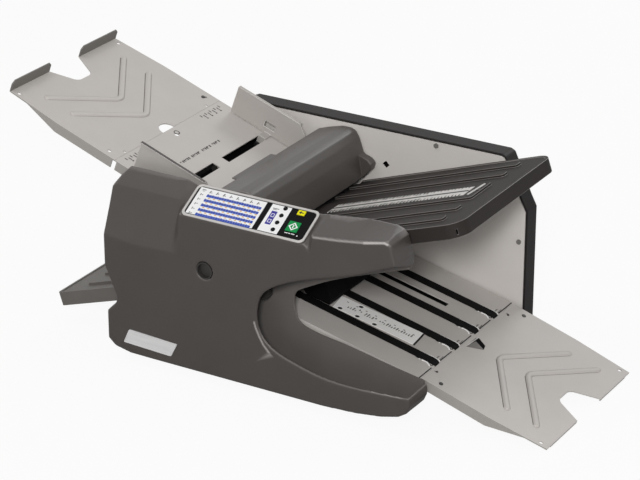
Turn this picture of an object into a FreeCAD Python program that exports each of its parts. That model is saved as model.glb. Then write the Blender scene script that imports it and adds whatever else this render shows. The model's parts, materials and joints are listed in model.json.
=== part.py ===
import FreeCAD, Part
import math
import os
import Sketcher

# Driving sizes of a desktop paper folding machine, in millimetres, degrees and counts.
# Heights are above the lower rim of the end covers, and lengths run along the paper path
# from a datum line near the middle of the case.
SIZES = [
    # Case and frame
    ("case_width", 327.0),
    ("datum_shift", 8.665),
    ("width_shift", 0.5),
    ("foot_height", 13.0),
    ("near_cover_depth", 45.5),
    ("far_cover_depth", 29.5),
    ("plate_thick", 2.0),
    ("wall", 3.0),
    ("seat_gap", 0.3),
    ("running_gap", 0.05),
    ("overrun", 2.0),
    ("cover_left", 213.0),
    ("cover_length", 433.0),
    ("cover_height", 238.0),
    ("far_cover_top", 240.0),
    ("far_cover_right", 221.0),
    ("far_cover_round", 6.0),
    # Control panel
    ("panel_length", 172.0),
    ("panel_width", 50.0),
    ("panel_centre_x", -12.5),
    ("panel_low", 206.0),
    ("panel_high", 230.0),
    ("panel_edge", 1.5),
    ("bezel_border", 3.0),
    ("bezel_height", 2.2),
    ("bezel_round", 7.0),
    ("panel_sheet_thick", 1.2),
    ("button_radius", 2.6),
    ("button_proud", 0.8),
    ("button_travel", 0.6),
    ("button_gap", 0.3),
    ("button_stem", 1.6),
    ("button_stem_drop", 5.0),
    ("button_column", 40.2),
    ("button_pitch", 11.1),
    ("jog_long", 10.0),
    ("jog_wide", 7.0),
    ("start_long", 15.5),
    ("start_wide", 15.0),
    ("key_column", 63.0),
    ("jog_row", 17.0),
    ("start_row", -4.9),
    ("button_row", 1.4),
    ("board_long", 150.0),
    ("board_low_edge", 17.0),
    ("board_high_edge", 9.0),
    ("board_thick", 1.6),
    ("board_drop", 12.0),
    ("tact_side", 6.0),
    ("tact_gap", 0.4),
    # Badge place and port
    ("badge_x", -141.0),
    ("badge_z", 21.0),
    ("badge_length", 66.0),
    ("badge_height", 15.0),
    ("badge_thick", 0.8),
    ("port_x", -64.6),
    ("port_z", 139.9),
    ("port_radius", 9.6),
    ("port_lip", 1.6),
    ("port_depth", 9.0),
    # Base pan, rods and feet
    ("pan_left", -188.0),
    ("pan_right", 186.0),
    ("pan_low", 1.0),
    ("pan_flange", 18.0),
    ("rod_radius", 4.0),
    ("rod_left_x", -190.0),
    ("rod_left_z", 146.0),
    ("rod_mid_x", -80.0),
    ("rod_mid_z", 62.0),
    ("rod_right_x", 150.0),
    ("rod_right_z", 20.0),
    ("foot_radius", 10.0),
    ("foot_left_x", -165.0),
    ("foot_right_x", 160.0),
    ("foot_inset", 22.0),
    # Feed table, extension and guides
    ("feed_slope", 20.0),
    ("feed_low_x", -47.58),
    ("feed_low_z", 166.33),
    ("table_length", 192.0),
    ("tray_side_gap", 6.0),
    ("sheet_thick", 1.5),
    ("skirt_depth", 13.0),
    ("slot_wide", 12.0),
    ("slot_from_end", 108.5),
    ("slot_near", 10.0),
    ("slot_inset", 22.0),
    ("pad_from_end", 30.0),
    ("pad_long", 18.0),
    ("pad_wide", 30.0),
    ("pad_thick", 6.0),
    ("holder_wide", 46.0),
    ("holder_long", 26.0),
    ("holder_deep", 12.0),
    ("table_hole", 3.0),
    ("extension_length", 172.0),
    ("extension_taper", 80.0),
    ("skirt_fade", 50.0),
    ("taper_inset", 5.0),
    ("notch_deep", 36.0),
    ("notch_mouth", 66.0),
    ("notch_floor", 30.0),
    ("notch_round", 12.0),
    ("flange_high", 15.0),
    ("flange_corner", 4.5),
    ("rib_width", 8.0),
    ("rib_high", 1.2),
    ("rib_reach", 57.0),
    ("rib_spread", 82.0),
    ("rib_first", 41.0),
    ("rib_second", 83.0),
    ("tray_hole_radius", 2.6),
    ("tray_hole_edge", 11.0),
    ("hook_hole_edge", 27.0),
    ("hook_hole_radius", 2.0),
    ("hook_hole_from", 3.4),
    ("extension_hole_from", 16.0),
    ("stacker_hole_from", 19.2),
    ("finger_radius", 13.0),
    ("junction_gap", 6.0),
    ("guide_inset", 10.0),
    ("guide_from_end", 47.5),
    ("guide_long", 121.0),
    ("guide_high", 40.0),
    ("guide_corner", 22.0),
    ("guide_flange", 5.0),
    ("guide_lift", 0.8),
    ("window_long", 17.0),
    ("window_high", 8.0),
    ("window_low", 9.0),
    ("foot_clear", 0.5),
    ("leg_drop", 8.0),
    ("rack_high", 5.0),
    ("rack_wide", 5.0),
    ("rack_tail", 12.0),
    ("rack_module", 1.0),
    ("pinion_teeth", 16.0),
    ("tooth_slack", 0.5),
    ("stud_radius", 3.0),
    # Hood
    ("hood_left_x", -80.0),
    ("hood_top_z", 233.0),
    ("hood_right_x", -7.5),
    ("hood_low_z", 172.0),
    ("hood_wall", 2.5),
    ("hood_ear_thick", 6.0),
    ("hood_lip", 6.0),
    ("hood_lip_long", 92.0),
    ("hood_lip_from", 50.0),
    ("hood_pivot_x", -3.6),
    ("hood_pivot_z", 187.0),
    ("hood_pin_radius", 3.0),
    ("hood_side_gap", 0.6),
    # Feed and fold rollers
    ("roller_radius", 13.0),
    ("roller_nip", 0.4),
    ("roller_end_gap", 8.0),
    ("roller_stack_x", -30.0),
    ("roller_top_z", 170.8),
    ("journal_radius", 4.0),
    ("bearing_radius", 8.0),
    ("bearing_flange", 10.5),
    ("bearing_flange_thick", 2.0),
    ("feed_roller_x", -72.0),
    ("feed_roller_z", 191.6),
    ("feed_tyre_radius", 14.5),
    ("feed_tyre_wide", 26.0),
    ("feed_tyre_pitch", 62.0),
    ("feed_core_radius", 9.0),
    ("gear_teeth", 24.0),
    ("gear_wide", 7.0),
    ("gear_gap", 6.0),
    ("belt_thick", 1.6),
    ("belt_wide", 7.0),
    ("pulley_wide", 8.5),
    ("feed_pulley_radius", 10.0),
    ("hub_pulley_radius", 8.0),
    # Motor and drive
    ("motor_x", -125.0),
    ("motor_z", 148.0),
    ("motor_radius", 26.0),
    ("motor_length", 92.0),
    ("motor_boss_radius", 11.0),
    ("motor_pulley_radius", 8.0),
    ("main_pulley_radius", 26.0),
    ("exit_pulley_radius", 9.0),
    ("drive_layer", 5.0),
    ("exit_layer", 14.0),
    # Fold plates and stops
    ("upper_slope", 19.0),
    ("upper_start_x", 2.7),
    ("upper_start_z", 169.2),
    ("upper_length", 267.0),
    ("lower_slope", 18.0),
    ("lower_start_x", -20.0),
    ("lower_start_z", 128.0),
    ("lower_length", 319.0),
    ("fold_side_gap", 2.5),
    ("fold_deep", 18.0),
    ("fold_rim", 4.0),
    ("fold_skin", 7.0),
    ("fold_recess", 1.0),
    ("fold_channel", 6.0),
    ("fold_round", 22.0),
    ("lower_round", 6.0),
    ("fold_set_back", 11.0),
    ("fold_lead", 17.0),
    ("fold_lead_thick", 3.0),
    ("ridge_wide", 13.0),
    ("ridge_high", 2.0),
    ("ridge_round", 4.0),
    ("ridge_end_gap", 35.0),
    ("band_wide", 54.0),
    ("band_end_gap", 37.0),
    ("fold_slot_wide", 4.0),
    ("fold_slot_start", 30.0),
    ("fold_slot_end_gap", 40.0),
    ("stop_bar_high", 4.6),
    ("stop_bar_long", 10.0),
    ("stop_side_gap", 1.0),
    ("stop_neck", 3.0),
    ("stop_knob_radius", 8.0),
    ("stop_knob_high", 7.0),
    ("stop_place", 190.0),
    ("lug_long", 10.0),
    ("lug_high", 6.0),
    ("lug_first", 40.0),
    ("lug_second", 160.0),
    ("diamond_x", 17.5),
    ("diamond_z", 194.0),
    ("diamond_reach", 4.5),
    ("scale_wide", 20.0),
    ("scale_start", 14.0),
    ("scale_end_gap", 53.0),
    ("scale_thick", 0.6),
    # Exit deck and belts
    ("deck_slope", 13.0),
    ("deck_end_x", 208.0),
    ("deck_end_z", 43.3),
    ("deck_start_x", -8.0),
    ("deck_curl", 12.0),
    ("deck_drop", 13.0),
    ("deck_side_gap", 3.5),
    ("belt_slot_from", 4.2),
    ("deck_skirt", 26.0),
    ("belt_inner_place", 25.5),
    ("belt_outer_place", 76.5),
    ("belt_slot", 12.6),
    ("exit_belt_wide", 11.0),
    ("exit_belt_thick", 2.0),
    ("exit_belt_proud", 1.0),
    ("exit_roller_radius", 7.5),
    ("exit_axle_radius", 3.0),
    ("exit_drive_inset", 14.0),
    ("exit_idle_inset", 9.0),
    ("slot_strip_place", 51.0),
    ("slot_strip_wide", 10.0),
    ("slot_strip_long", 111.0),
    ("slot_strip_from", 48.0),
    ("label_long", 112.0),
    ("label_from", 63.6),
    ("label_wide", 32.0),
    ("guard_thick", 2.0),
    ("guard_gap", 5.6),
    ("guard_long", 41.0),
    ("guard_high", 65.0),
    ("guard_lift", 5.6),
    ("guard_wide", 150.0),
    ("guard_rod", 3.0),
    # Stacker tray
    ("stacker_slope", 17.5),
    ("stacker_start_x", 210.0),
    ("stacker_start_z", 43.0),
    ("stacker_length", 171.0),
    ("stacker_lead", 2.4),
    ("stacker_lip", 3.5),
    # Inlet, switch, board and screws
    ("inlet_long", 28.0),
    ("inlet_high", 21.0),
    ("inlet_deep", 15.0),
    ("inlet_x", -150.0),
    ("inlet_z", 38.0),
    ("switch_long", 20.0),
    ("switch_high", 13.0),
    ("switch_x", -105.0),
    ("pivot_radius", 1.2),
    ("rocker_tilt", 8.0),
    ("rocker_sink", 4.0),
    ("rocker_rise", 0.6),
    ("rocker_dish", 1.6),
    ("rocker_end_gap", 2.0),
    ("screw_radius", 3.2),
    ("screw_high", 1.8),
]

# Outline of the near cover seen from the front, as shares of its length and height.
NEAR_OUTLINE_SHARES = [
    (0.005, 0.059), (0.030, 0.021), (0.081, 0.002), (0.150, 0.0), (0.723, 0.0),
    (0.830, 0.010), (0.910, 0.029), (0.965, 0.055), (0.990, 0.084), (1.0, 0.126),
    (0.997, 0.176), (0.997, 0.240), (0.960, 0.740), (0.948, 0.790), (0.952, 0.830),
    (0.951, 0.868), (0.935, 0.965), (0.922, 0.990), (0.905, 1.0), (0.840, 1.0),
    (0.776, 0.999), (0.690, 0.975), (0.655, 0.970), (0.270, 0.970), (0.262, 0.986),
    (0.037, 0.986), (0.016, 0.940), (0.0, 0.885), (0.0, 0.479), (0.039, 0.311),
    (0.037, 0.277), (0.005, 0.218),
]
# The curved mouth in the near cover: its rim on the outer face and at the frame.
MOUTH_OUTER_SHARES = [
    (1.045, 0.184), (0.930, 0.162), (0.845, 0.153), (0.718, 0.160), (0.622, 0.202),
    (0.557, 0.252), (0.519, 0.336), (0.513, 0.437), (0.527, 0.529), (0.575, 0.601),
    (0.656, 0.668), (0.813, 0.761), (0.950, 0.866), (1.045, 0.930),
]
MOUTH_INNER_SHARES = [
    (1.045, 0.158), (0.973, 0.182), (0.861, 0.219), (0.732, 0.264), (0.621, 0.298),
    (0.590, 0.325), (0.573, 0.380), (0.566, 0.450), (0.572, 0.500), (0.605, 0.545),
    (0.665, 0.601), (0.813, 0.710), (0.933, 0.788), (1.045, 0.858),
]
# Cross-sections of the near cover along its length: place as a share of the length, then
# four (depth share, height share) points from the crease on the face up to the inner edge.
NEAR_SECTION_SHARES = [
    (-0.06, (0.0, 0.664), (0.275, 0.782), (0.55, 0.899), (1.0, 0.986)),
    (0.10, (0.0, 0.634), (0.275, 0.769), (0.55, 0.899), (1.0, 0.986)),
    (0.232, (0.0, 0.643), (0.275, 0.769), (0.55, 0.899), (1.0, 0.986)),
    (0.259, (0.0, 0.630), (0.033, 0.8655), (0.517, 0.916), (1.0, 0.9664)),
    (0.667, (0.0, 0.618), (0.033, 0.8655), (0.517, 0.916), (1.0, 0.9664)),
    (0.688, (0.0, 0.618), (0.015, 0.798), (0.022, 0.922), (1.0, 0.972)),
    (0.813, (0.0, 0.618), (0.015, 0.798), (0.022, 0.950), (1.0, 1.0)),
    (0.931, (0.0, 0.618), (0.015, 0.798), (0.022, 0.990), (1.0, 1.004)),
    (1.06, (0.0, 0.618), (0.015, 0.798), (0.022, 0.990), (1.0, 1.004)),
]
FAR_OUTLINE_SHARES = [
    (0.004, 0.018), (0.020, 0.0), (0.975, 0.0), (1.0, 0.035), (1.0, 0.705),
    (0.982, 0.767), (0.926, 0.988), (0.912, 1.0), (0.062, 1.0), (0.030, 0.975),
    (0.0, 0.885), (0.0, 0.479), (0.039, 0.311), (0.037, 0.277), (0.004, 0.218),
]
# Outer face of the hood from its left edge over the ridge to its low right edge, as shares
# of its width and height.
HOOD_SHARES = [
    (0.0, 0.820), (0.24, 0.915), (0.510, 1.0), (0.669, 1.0), (0.764, 0.962), (0.841, 0.820),
    (0.910, 0.574), (0.959, 0.295), (1.0, 0.0),
]
HOOD_EAR_SHARES = [
    (0.0, 0.820), (0.24, 0.915), (0.510, 1.0), (0.669, 1.0), (0.764, 0.962), (0.841, 0.820),
    (0.938, 0.492), (1.103, 0.426), (1.172, 0.344), (1.159, 0.213), (1.062, 0.082), (1.0, 0.0),
]
# End outline of the cowl over the belts, from its low left corner over its top to its right.
GUARD_SHARES = [
    (0.146, 0.108), (0.024, 0.215), (0.0, 0.431), (0.220, 1.0), (0.463, 0.785), (0.707, 0.554),
    (0.902, 0.323), (1.0, 0.092), (0.951, 0.0),
]
guard_back_count = 4
guard_rod_shares = (0.24, 0.90)
# Middles of the raised ridges of a fold plate, across its width.
RIDGE_SHARES = (-0.387, -0.241, 0.241, 0.387)
# The curled end of the belt deck: how far back from its end and how far down, in curls.
DECK_END_SHARES = [(0.50, 0.0), (0.17, 0.09), (0.04, 0.33), (0.0, 0.75)]
# Round holes of the deck's scale plate, along it and across it.
DECK_HOLE_SHARES = [(0.077, -0.375), (0.234, 0.28), (0.296, -0.36), (0.515, -0.33)]
# Screws on the far plate and on the far cover, along the case and up it.
PLATE_SCREW_SHARES = ((0.70, 0.967), (0.975, 0.53))
COVER_SCREW_SHARES = ((0.08, 0.10), (0.92, 0.10), (0.92, 0.60), (0.08, 0.80), (0.5, 0.9))
# Contacts of the mains inlet, along it and up it, and how deep they stand in it.
BLADE_SHARES = ((-0.22, -0.12), (0.22, -0.12), (0.0, 0.14))
blade_reach_share = 0.7
# A tooth in modules above and below the pitch line, and its widths in half tooth widths.
tooth_top_share, tooth_root_share = 0.85, 1.15
tooth_tip_share, tooth_base_share = 0.55, 1.45

UP = FreeCAD.Vector(0, 0, 1)
ALONG_X = FreeCAD.Vector(1, 0, 0)
ALONG_Y = FreeCAD.Vector(0, 1, 0)


class Size(float):
    """A number that keeps the sheet formula which gives it."""

    def __new__(cls, value, formula):
        made = float.__new__(cls, value)
        made.formula = formula
        return made

    def __add__(self, other):
        return Size(float(self) + float(other), f"({self.formula} + {formula_of(other)})")

    def __radd__(self, other):
        return Size(float(other) + float(self), f"({formula_of(other)} + {self.formula})")

    def __sub__(self, other):
        return Size(float(self) - float(other), f"({self.formula} - {formula_of(other)})")

    def __rsub__(self, other):
        return Size(float(other) - float(self), f"({formula_of(other)} - {self.formula})")

    def __mul__(self, other):
        return Size(float(self) * float(other), f"({self.formula} * {formula_of(other)})")

    def __rmul__(self, other):
        return Size(float(other) * float(self), f"({formula_of(other)} * {self.formula})")

    def __truediv__(self, other):
        return Size(float(self) / float(other), f"({self.formula} / {formula_of(other)})")

    def __neg__(self):
        return Size(-float(self), f"(0 - {self.formula})")


def formula_of(value):
    return value.formula if isinstance(value, Size) else f"({float(value)!r})"


def sine(angle):
    return Size(math.sin(math.radians(angle)), f"sin({formula_of(angle)})")


def cosine(angle):
    return Size(math.cos(math.radians(angle)), f"cos({formula_of(angle)})")


def tangent(angle):
    return Size(math.tan(math.radians(angle)), f"tan({formula_of(angle)})")


def arctangent(share):
    return Size(math.degrees(math.atan(share)), f"atan({formula_of(share)})")


class Sheet:
    """The driving sizes as attributes."""


doc = FreeCAD.newDocument("paper_folding_machine")
cells = doc.addObject("Spreadsheet::Sheet", "Sizes")
s = Sheet()
for row, (alias, value) in enumerate(SIZES, start=1):
    cells.set(f"A{row}", alias)
    cells.set(f"B{row}", str(value))
    cells.setAlias(f"B{row}", alias)
    setattr(s, alias, Size(value, f"Sizes.{alias}"))
doc.recompute()

nodes = []


def bind(thing, path, value):
    """Set a property from the sheet, or as it is where it is zero or a share."""
    if isinstance(value, Size):
        thing.setExpression(path, value.formula)
        return
    if "." not in path:
        setattr(thing, path, value)


def place(thing, x=0, y=0, z=0, axis=UP, angle=0):
    turn = FreeCAD.Rotation(axis, float(angle))
    thing.Placement = FreeCAD.Placement(FreeCAD.Vector(x, y, z), turn)
    for name, value in (("x", x), ("y", y), ("z", z)):
        bind(thing, f"Placement.Base.{name}", value)
    if isinstance(angle, Size):
        bind(thing, "Placement.Rotation.Angle", angle)
    return thing


def keep(thing, name):
    """Name a finished piece."""
    thing.Label = name
    nodes.append(thing)
    return thing


def box(name, x, y, z, long, wide, high):
    """A block from one corner."""
    block = doc.addObject("Part::Box", name)
    for path, value in (("Length", long), ("Width", wide), ("Height", high)):
        bind(block, path, value)
    return place(block, x, y, z)


def rod(name, x, y, z, length, radius):
    """A round bar along the width of the machine, from y towards the far side."""
    bar = doc.addObject("Part::Cylinder", name)
    bind(bar, "Radius", radius)
    bind(bar, "Height", length)
    return place(bar, x, y, z, ALONG_X, -90.0)


def post(name, x, y, z, length, radius):
    """A round bar that stands up from z."""
    bar = doc.addObject("Part::Cylinder", name)
    bind(bar, "Radius", radius)
    bind(bar, "Height", length)
    return place(bar, x, y, z)


def fuse(name, shapes):
    joined = doc.addObject("Part::MultiFuse", name)
    joined.Shapes = shapes
    return joined


def cut(name, base, tools):
    """The base without the tools."""
    tool = tools[0] if len(tools) == 1 else fuse(f"{name}_tools", tools)
    left = doc.addObject("Part::Cut", name)
    left.Base = base
    left.Tool = tool
    return left


def add_loop(sketch, corners):
    """A closed outline whose corners are (u, v) or (u, v, radius), fully dimensioned."""
    count = len(corners)
    spots = [FreeCAD.Vector(float(corner[0]), float(corner[1]), 0) for corner in corners]
    starts, ends = [], []
    for index, corner in enumerate(corners):
        spot = spots[index]
        if len(corner) < 3:
            starts.append(spot)
            ends.append(spot)
            continue
        back = (spots[index - 1] - spot)
        ahead = (spots[(index + 1) % count] - spot)
        reach = float(corner[2]) / math.tan(back.getAngle(ahead) / 2)
        starts.append(spot + back.normalize() * reach)
        ends.append(spot + ahead.normalize() * reach)
    lines = [
        sketch.addGeometry(Part.LineSegment(ends[index], starts[(index + 1) % count]), False)
        for index in range(count)
    ]
    for index, corner in enumerate(corners):
        before, after = lines[index - 1], lines[index]
        if len(corner) < 3:
            sketch.addConstraint(Sketcher.Constraint("Coincident", before, 2, after, 1))
            held = (after, 1)
        else:
            ring = starts[index], ends[index], spots[index]
            held = add_corner_arc(sketch, before, after, *ring, corner[2])
        for kind, value in (("DistanceX", corner[0]), ("DistanceY", corner[1])):
            made = sketch.addConstraint(Sketcher.Constraint(kind, -1, 1, *held, float(value)))
            name = f"c{made}"
            sketch.renameConstraint(made, name)
            if isinstance(value, Size):
                sketch.setExpression(f"Constraints.{name}", value.formula)


def add_corner_arc(sketch, before, after, start, end, spot, radius):
    """An arc between two lines, with a construction point at their corner."""
    toward = (start - spot) + (end - spot)
    half = (start - spot).getAngle(end - spot) / 2
    middle = spot + toward.normalize() * (float(radius) / math.sin(half) - float(radius))
    turns_left = (middle - start).cross(end - middle).z > 0
    first, second = (1, 2) if turns_left else (2, 1)
    run = (start, middle, end) if turns_left else (end, middle, start)
    arc = sketch.addGeometry(Part.Arc(*run), False)
    sketch.addConstraint(Sketcher.Constraint("Tangent", before, 2, arc, first))
    sketch.addConstraint(Sketcher.Constraint("Tangent", arc, second, after, 1))
    made = sketch.addConstraint(Sketcher.Constraint("Radius", arc, float(radius)))
    sketch.renameConstraint(made, f"c{made}")
    if isinstance(radius, Size):
        sketch.setExpression(f"Constraints.c{made}", radius.formula)
    corner = sketch.addGeometry(Part.Point(spot), True)
    sketch.addConstraint(Sketcher.Constraint("PointOnObject", corner, 1, before))
    sketch.addConstraint(Sketcher.Constraint("PointOnObject", corner, 1, after))
    return corner, 1


def add_circle(sketch, u, v, radius):
    ring = Part.Circle(FreeCAD.Vector(float(u), float(v), 0), UP, float(radius))
    circle = sketch.addGeometry(ring, False)
    wanted = (
        ("DistanceX", (-1, 1, circle, 3), u),
        ("DistanceY", (-1, 1, circle, 3), v),
        ("Radius", (circle,), radius),
    )
    for kind, spots, value in wanted:
        made = sketch.addConstraint(Sketcher.Constraint(kind, *spots, float(value)))
        sketch.renameConstraint(made, f"c{made}")
        if isinstance(value, Size):
            sketch.setExpression(f"Constraints.c{made}", value.formula)


def slab(name, plane, loops, thick, circles=(), centred=True):
    """A padded outline. XZ outlines grow along Y, XY outlines along Z, YZ outlines along X."""
    body = doc.addObject("PartDesign::Body", name)
    sketch = body.newObject("Sketcher::SketchObject", f"{name}_outline")
    role = f"{plane}_Plane"
    sketch.AttachmentSupport = [([f for f in body.Origin.OriginFeatures if f.Role == role][0], "")]
    sketch.MapMode = "FlatFace"
    for loop in loops:
        add_loop(sketch, loop)
    for circle in circles:
        add_circle(sketch, *circle)
    pad = body.newObject("PartDesign::Pad", f"{name}_pad")
    pad.Profile = sketch
    if centred:
        pad.SideType = "Symmetric"
    bind(pad, "Length", thick)
    body.Tip = pad
    return body


def feature(name, shape, x=0, y=0, z=0):
    """A piece whose shape is worked out with the geometry functions."""
    made = doc.addObject("Part::Feature", name)
    made.Shape = shape
    return move(made, FreeCAD.Placement(FreeCAD.Vector(x, y, z), FreeCAD.Rotation()))


def move(thing, spot):
    """Carry a piece along with a placement that comes on top of its own."""
    thing.Placement = spot.multiply(thing.Shape.Placement)
    return thing


# Places that several pieces share
near_face = -s.case_width / 2 - s.width_shift
far_face = s.case_width / 2 - s.width_shift
near_depth, far_depth = s.near_cover_depth, s.far_cover_depth
plate_gap = s.case_width - near_depth - far_depth
path_y = (near_depth - far_depth) / 2 - s.width_shift
near_in = near_face + near_depth
far_in = far_face - far_depth
lift = s.foot_height
tray_width = plate_gap - 2 * s.tray_side_gap
roller_length = plate_gap - 2 * s.roller_end_gap
fold_width = plate_gap - 2 * s.fold_side_gap
deck_width = plate_gap - 2 * s.deck_side_gap
guide_spread = tray_width - 2 * s.guide_inset
slot_far = tray_width / 2 - s.slot_inset
feed_top_x = s.feed_low_x - s.table_length * cosine(s.feed_slope)
feed_top_z = s.feed_low_z + s.table_length * sine(s.feed_slope)
slot_place = s.table_length - s.slot_from_end
pad_place = s.table_length - s.pad_from_end
guide_end = s.table_length - s.guide_from_end
guide_start = guide_end - s.guide_long
roller_pitch = 2 * s.roller_radius + s.roller_nip
roller_places = {
    "one": (s.roller_stack_x, s.roller_top_z),
    "two": (s.roller_stack_x, s.roller_top_z - roller_pitch),
    "three": (s.roller_stack_x + roller_pitch, s.roller_top_z - roller_pitch),
    "four": (s.roller_stack_x + roller_pitch, s.roller_top_z - 2 * roller_pitch),
}
deck_tan = tangent(s.deck_slope)
exit_radius = s.exit_roller_radius + s.seat_gap + s.exit_belt_thick
exit_sink = exit_radius - s.exit_belt_proud
idle_x = s.deck_end_x - s.exit_idle_inset
drive_x = s.deck_start_x + s.exit_drive_inset


def deck_height(x):
    return s.deck_end_z + (s.deck_end_x - x) * deck_tan


def exit_axle(x):
    """The axle that lies under the deck, square below x."""
    return x - exit_sink * sine(s.deck_slope), deck_height(x) - exit_sink * cosine(s.deck_slope)


exit_axles = {"drive": exit_axle(drive_x), "idle": exit_axle(idle_x)}
guard_x = roller_places["three"][0] + s.roller_radius + s.guard_gap
guard_z = deck_height(guard_x + s.guard_long) + s.guard_lift


def world_x(x):
    return x + s.datum_shift


def world_z(z):
    return z + lift


# The end covers and side plates are shells that follow freely curved outlines
def shifted_points(points, distance, closed=True):
    """The points moved sideways by a distance, inwards for a positive one on a left-turning loop."""
    count = len(points)
    moved = []
    for index, (u, v) in enumerate(points):
        before = points[index - 1] if closed or index else points[index]
        after = points[(index + 1) % count] if closed or index < count - 1 else points[index]
        back = (u - before[0], v - before[1])
        ahead = (after[0] - u, after[1] - v)
        if not closed and index == 0:
            back = ahead
        if not closed and index == count - 1:
            ahead = back
        back_length = math.hypot(*back)
        ahead_length = math.hypot(*ahead)
        n1 = (-back[1] / back_length, back[0] / back_length)
        n2 = (-ahead[1] / ahead_length, ahead[0] / ahead_length)
        share = 1 + n1[0] * n2[0] + n1[1] * n2[1]
        moved.append((u + (n1[0] + n2[0]) * distance / share, v + (n1[1] + n2[1]) * distance / share))
    return moved


def sized(shares, long, high, left=0.0):
    return [(u * long - left, v * high) for u, v in shares]


def flat_wire(points, y):
    corners = [FreeCAD.Vector(u, y, v) for u, v in points]
    return Part.makePolygon(corners + corners[:1])


def prism(points, y_low, y_high):
    """The closed outline, filled between two places across the width."""
    face = Part.Face(flat_wire(points, y_low))
    return face.extrude(FreeCAD.Vector(0, y_high - y_low, 0))


def mouth_tool(grow):
    """The space that the mouth leaves open, flaring towards the outer face."""
    long, high, left = float(s.cover_length), float(s.cover_height), float(s.cover_left)
    depth, over = float(near_depth), float(s.overrun)
    outer = shifted_points(sized(MOUTH_OUTER_SHARES, long, high, left), -grow, closed=False)
    inner = shifted_points(sized(MOUTH_INNER_SHARES, long, high, left), -grow, closed=False)
    wires = []
    for share in (-over / depth, 1 + over / depth):
        points = [
            FreeCAD.Vector(a[0] + (b[0] - a[0]) * share, depth * share, a[1] + (b[1] - a[1]) * share)
            for a, b in zip(outer, inner)
        ]
        curve = Part.BSplineCurve()
        curve.interpolate(points)
        closing = Part.LineSegment(points[-1], points[0])
        wires.append(Part.Wire([curve.toShape(), closing.toShape()]))
    return Part.makeLoft(wires, True, True)


def near_envelope(inset):
    """The near cover's crowned cross-sections, joined along its length."""
    long, high, left = float(s.cover_length), float(s.cover_height), float(s.cover_left)
    depth, over = float(near_depth), float(s.overrun)
    wires = []
    for place_share, *section in NEAR_SECTION_SHARES:
        x = place_share * long - left
        upper = [(y_share * depth, z_share * high) for y_share, z_share in section]
        upper[-1] = beyond(upper[-2], upper[-1], over)
        chain = [(upper[0][0], -over), *upper]
        chain = shifted_points(chain, -inset, closed=False)
        chain.append((chain[-1][0], -over))
        wires.append(Part.makePolygon([FreeCAD.Vector(x, y, z) for y, z in chain + chain[:1]]))
    return Part.makeLoft(wires, True, True)


def beyond(start, end, extra):
    """The end point pushed on along its line."""
    length = math.hypot(end[0] - start[0], end[1] - start[1])
    share = 1 + extra / length
    return (start[0] + (end[0] - start[0]) * share, start[1] + (end[1] - start[1]) * share)


def near_form(inset, y_low, y_high):
    """The near cover's solid form, drawn in by an inset."""
    outline = sized(NEAR_OUTLINE_SHARES, float(s.cover_length), float(s.cover_height), float(s.cover_left))
    body = prism(shifted_points(outline, inset), y_low, y_high)
    return body.common(near_envelope(inset)).cut(mouth_tool(inset))


def far_form(inset, y_low, y_high):
    long = float(s.cover_left + s.far_cover_right)
    outline = sized(FAR_OUTLINE_SHARES, long, float(s.far_cover_top), float(s.cover_left))
    return prism(shifted_points(outline, inset), y_low, y_high)


def hole_bar(x, z, radius, y_low, y_high):
    return Part.makeCylinder(radius, y_high - y_low, FreeCAD.Vector(x, y_low, z), ALONG_Y)


def panel_frame():
    """Where the control panel lies, as a placement whose x runs along it and y up it."""
    depth = float(near_depth)
    slope = math.atan2(float(s.panel_high - s.panel_low), depth - float(s.panel_edge))
    middle = FreeCAD.Vector(
        float(world_x(s.panel_centre_x)),
        float(near_face) + (depth + float(s.panel_edge)) / 2,
        float(world_z((s.panel_low + s.panel_high) / 2)),
    )
    return FreeCAD.Placement(middle, FreeCAD.Rotation(ALONG_X, math.degrees(slope)))


def make_near_cover():
    wall, depth = float(s.wall), float(near_depth)
    shell = near_form(0.0, 0.0, depth).cut(near_form(wall, wall, depth + float(s.overrun)))
    port = hole_bar(float(s.port_x), float(s.port_z), float(s.port_radius + s.port_lip), -wall, 2 * wall)
    shell = shell.cut(port)
    place_back = FreeCAD.Placement(
        FreeCAD.Vector(float(world_x(0.0)), float(near_face), float(world_z(0.0))), FreeCAD.Rotation(),
    ).inverse()
    for u, v in key_places().values():
        deep = float(s.button_stem_drop + s.overrun)
        stem = Part.makeCylinder(
            float(s.button_stem + s.button_gap), deep + float(s.panel_edge),
            FreeCAD.Vector(float(u), float(v), -deep),
        )
        stem.Placement = place_back.multiply(panel_frame()).multiply(stem.Placement)
        shell = shell.cut(stem)
    made = feature("near_cover", shell, float(world_x(0.0)), float(near_face), float(world_z(0.0)))
    keep(made, "near_cover")


def make_far_cover():
    wall, depth = float(s.wall), float(far_depth)
    solid = far_form(0.0, 0.0, depth)
    outer_edges = [
        edge for edge in solid.Edges
        if all(abs(vertex.Point.y - depth) < wall / 10 for vertex in edge.Vertexes)
    ]
    solid = solid.makeFillet(float(s.far_cover_round), outer_edges)
    shell = solid.cut(far_form(wall, -float(s.overrun), depth - wall))
    for x, z, long, high in rear_openings():
        corner = FreeCAD.Vector(x - long / 2, 0, z - high / 2)
        shell = shell.cut(Part.makeBox(long, 2 * depth, high, corner))
    made = feature("far_cover", shell, float(world_x(0.0)), float(far_in), float(world_z(0.0)))
    keep(made, "far_cover")


def rear_openings():
    """The holes for the mains inlet and the switch, as centre and size."""
    gap = 2 * float(s.seat_gap)
    inlet = (float(s.inlet_x), float(s.inlet_z), float(s.inlet_long) + gap, float(s.inlet_high) + gap)
    switch = (float(s.switch_x), float(s.inlet_z), float(s.switch_long) + gap, float(s.switch_high) + gap)
    return inlet, switch


def journal_places():
    spots = [(float(x), float(z)) for x, z in roller_places.values()]
    spots.append((float(s.feed_roller_x), float(s.feed_roller_z)))
    return spots


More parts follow.
